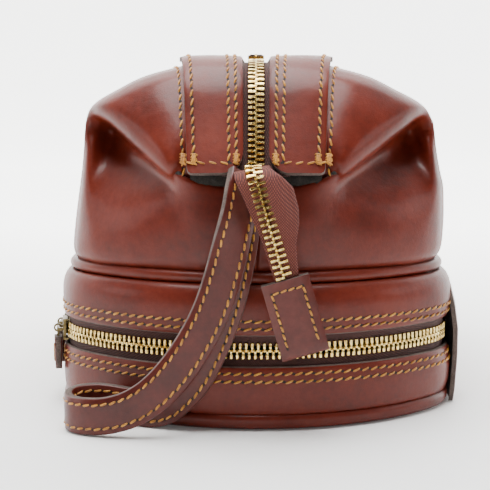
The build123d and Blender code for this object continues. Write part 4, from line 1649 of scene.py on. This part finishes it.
# ------------------------------------------------------------------ pulls and kept nodes
@dataclass
class LeatherPull:
    """Small leather pull folded through a slider's link.

    Attributes:
        name: the CAD node it replaces, and the body it rides on.
        out: the direction its face looks.
        length: of the pull.
        half: half its width.
    """

    name: str
    out: Point
    length: float = 13.5
    half: float = 4.2

    def build(self) -> None:
        """Makes the pull in the place of its CAD node."""
        low, high = (np.array(v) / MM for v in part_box(self.name))
        middle = (low + high) / 2
        hangs = int(np.argmax(high - low)) == 2
        out = np.array(self.out)
        along = np.array([0.0, 0.0, -1.0]) if hangs else np.array([0.0, 1.0, 0.0])
        across = np.cross(out, along)
        length, half = self.length, self.half
        sections = []
        for share in np.linspace(0, 1, 14):
            s = -length / 2 + length * share
            round_end = max(0.0, s - (length / 2 - half))
            width = math.sqrt(max(half**2 - round_end**2, 0.3))
            pinch = 0.75 if share < 0.25 else 1.0
            thick = 1.55 - 0.25 * share
            wide = width * pinch
            ring = [(-wide, -thick * 0.7), (-wide * 0.8, -thick), (wide * 0.8, -thick), (wide, -thick * 0.7),
                    (wide, thick * 0.7), (wide * 0.8, thick), (-wide * 0.8, thick), (-wide, thick * 0.7)]
            sections.append([middle + along * s + across * a + out * b for a, b in ring])
        shape = Shape()
        shape.loop_sweep(np.array(sections), [0, 0, 0, 1, 0, 0, 0, 1], cap_slot=1)
        piece = shape.build(f"{self.name}_leather", (Finish.STRAP_LEATHER, Finish.RAW_EDGE))
        settle(piece, self.name, [self.name])
        sewing = Stitching(pitch=2.6, radius=0.3, twist=8.0)
        for a in (-2.6, 2.6):
            marks = np.linspace(-3.5, 3.2, 8)
            points = np.array([middle + along * s + across * a + out * 1.45 for s in marks])
            sewing.row(points, np.tile(out, (8, 1)))
        sewing.build(f"{self.name}_stitches", self.name)


CORNER_TURN = math.radians(10.0)
PULLS = {
    "side_pull": (-1.0, 0.0, 0.0),
    "corner_pull": (-math.cos(CORNER_TURN), -math.sin(CORNER_TURN), 0.0),
    "top_pull": (0.0, 0.0, 1.0),
}
KEPT_NODES = {
    "tray_lining": Finish.LINING, "lid_lining": Finish.LINING, "body_lining": Finish.LINING,
    "base_board": Finish.BOARD, "divider_board": Finish.BOARD, "left_frame": Finish.STEEL,
    "right_frame": Finish.STEEL, "near_pivot": Finish.BRASS, "far_pivot": Finish.BRASS,
    "strap_stud": Finish.BRASS, "side_slider": Finish.OLD_BRASS, "corner_slider": Finish.OLD_BRASS,
    "top_slider": Finish.BRASS, "side_pull_link": Finish.OLD_BRASS, "corner_pull_link": Finish.OLD_BRASS,
    "top_pull_link": Finish.BRASS,
}


def dress_kept_nodes(nodes: dict) -> None:
    """Gives each CAD piece that stays its finish.

    Args:
        nodes: CAD objects by node name.
    """
    for name, kind in KEPT_NODES.items():
        piece = nodes[name]
        piece.data.materials.clear()
        piece.data.materials.append(finish(kind))
        log.info("%s keeps its CAD shape as %s", name, kind.value)


# ------------------------------------------------------------------ studio
@dataclass
class Studio:
    """Pale floor, soft lights and the camera in front of the near end.

    Attributes:
        floor: colour of the floor.
        room: strength of the surround on the camera's side.
        backdrop: strength of the surround behind the bag.
        table_glow: how much the floor glows under the bag.
        sweep_glow: how much it glows behind, where it curves up.
        half_floor: half the floor's width, in millimetres.
        sweep_y: where the floor starts to curve up, in millimetres.
        sweep_radius: of the curve, in millimetres.
        lens: focal length in millimetres, on a sensor 36 mm wide.
        tilt: how far the camera looks down, in degrees.
        swing: how far it turns to the left, in degrees.
    """

    floor: str = "fbfbfa"
    room: float = 0.13
    backdrop: float = 2.5
    table_glow: float = 0.06
    sweep_glow: float = 3.8
    half_floor: float = 15000.0
    sweep_y: float = 1300.0
    sweep_radius: float = 700.0
    lens: float = 91.4
    tilt: float = 7.54
    swing: float = 0.485

    def surroundings(self) -> None:
        """Makes the floor and the even, pale surround."""
        wide, start, radius = self.half_floor, self.sweep_y, self.sweep_radius
        profile = [(-wide, 0.0), (0.0, 0.0), (start, 0.0)]
        profile += [(start + radius * math.sin(a), radius - radius * math.cos(a))
                    for a in np.linspace(0.1, math.pi / 2, 16)]
        profile.append((start + radius, 6000.0))
        shape = Shape()
        shape.grid(np.array([[(x, y, z) for x in (-wide, wide)] for y, z in profile]))
        shader = Shader("pale_floor")
        tone = shader.ramp(shader.noise(0.004, 2.0), ((0.3, "f8f8f6"), (0.7, self.floor)))
        depth = shader.add("ShaderNodeSeparateXYZ", {0: shader.place()}).outputs["Y"]
        glow = shader.add("ShaderNodeMapRange", {
            "Value": depth, "From Min": -0.12, "From Max": 0.6, "To Min": self.table_glow,
            "To Max": self.sweep_glow}, interpolation_type="SMOOTHSTEP").outputs["Result"]
        shader.feed(Base_Color=tone, Roughness=0.7, Emission_Color=tone, Emission_Strength=glow)
        mesh = shape.build("floor", ())
        mesh.data.materials.append(shader.material)
        world = bpy.data.worlds.new("pale_surround")
        world.use_nodes = True
        tree = world.node_tree
        place = add_node(tree, "ShaderNodeTexCoord")
        split = add_node(tree, "ShaderNodeSeparateXYZ", {0: place.outputs["Generated"]})
        glow = add_node(tree, "ShaderNodeMapRange", {
            "Value": split.outputs["Y"], "From Min": 0.72, "From Max": 0.95, "To Min": self.room,
            "To Max": self.backdrop}, interpolation_type="SMOOTHSTEP")
        tree.links.new(glow.outputs["Result"], tree.nodes["Background"].inputs["Strength"])
        tree.nodes["Background"].inputs["Color"].default_value = linear("ffffff")
        bpy.context.scene.world = world

    def light(self, name: str, place: Point, aim: Point, size: float, power: float) -> None:
        """Makes one soft square light.

        Args:
            name: its name.
            place: where it hangs, in metres.
            aim: the point it faces, in metres.
            size: its side, in metres.
            power: its power in watts.
        """
        data = bpy.data.lights.new(name, "AREA")
        data.size = size
        data.energy = power
        lamp = bpy.data.objects.new(name, data)
        lamp.location = place
        lamp.rotation_euler = (Vector(aim) - Vector(place)).to_track_quat("-Z", "Y").to_euler()
        bpy.context.collection.objects.link(lamp)

    def camera(self) -> None:
        """Makes the camera: level with the bag's shoulder, looking slightly down at the near end."""
        data = bpy.data.cameras.new("camera")
        data.lens = self.lens
        data.sensor_width = 36.0
        data.clip_start = 0.01
        camera = bpy.data.objects.new("camera", data)
        camera.location = (-0.0002, -0.5743, 0.1287)
        camera.rotation_euler = Euler((math.radians(90 - self.tilt), 0.0, math.radians(self.swing)))
        bpy.context.collection.objects.link(camera)
        bpy.context.scene.camera = camera

    def build(self) -> None:
        """Makes the studio."""
        self.surroundings()
        self.light("top_softbox", (-0.05, -0.13, 0.75), (0.0, -0.08, 0.1), 0.5, 11.5)
        self.light("left_softbox", (-0.85, -0.35, 0.3), (0.0, -0.05, 0.07), 0.3, 1.1)
        self.light("right_softbox", (0.9, -0.3, 0.35), (0.0, -0.05, 0.07), 0.3, 1.0)
        self.camera()


def main() -> None:
    """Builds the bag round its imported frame."""
    logging.basicConfig(level=logging.INFO, format="%(name)s: %(message)s")
    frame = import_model()
    dress_kept_nodes(frame["nodes"])
    LowerCompartment().build()
    for side in (-1, 1):
        skin = Shell(side).build()
        MouthHalf(side).build(skin)
    end_linings()
    ZipTail().build()
    WristStrap().build()
    for name, out in PULLS.items():
        LeatherPull(name, out).build()
    Studio().build()


if __name__ == "__main__":
    main()
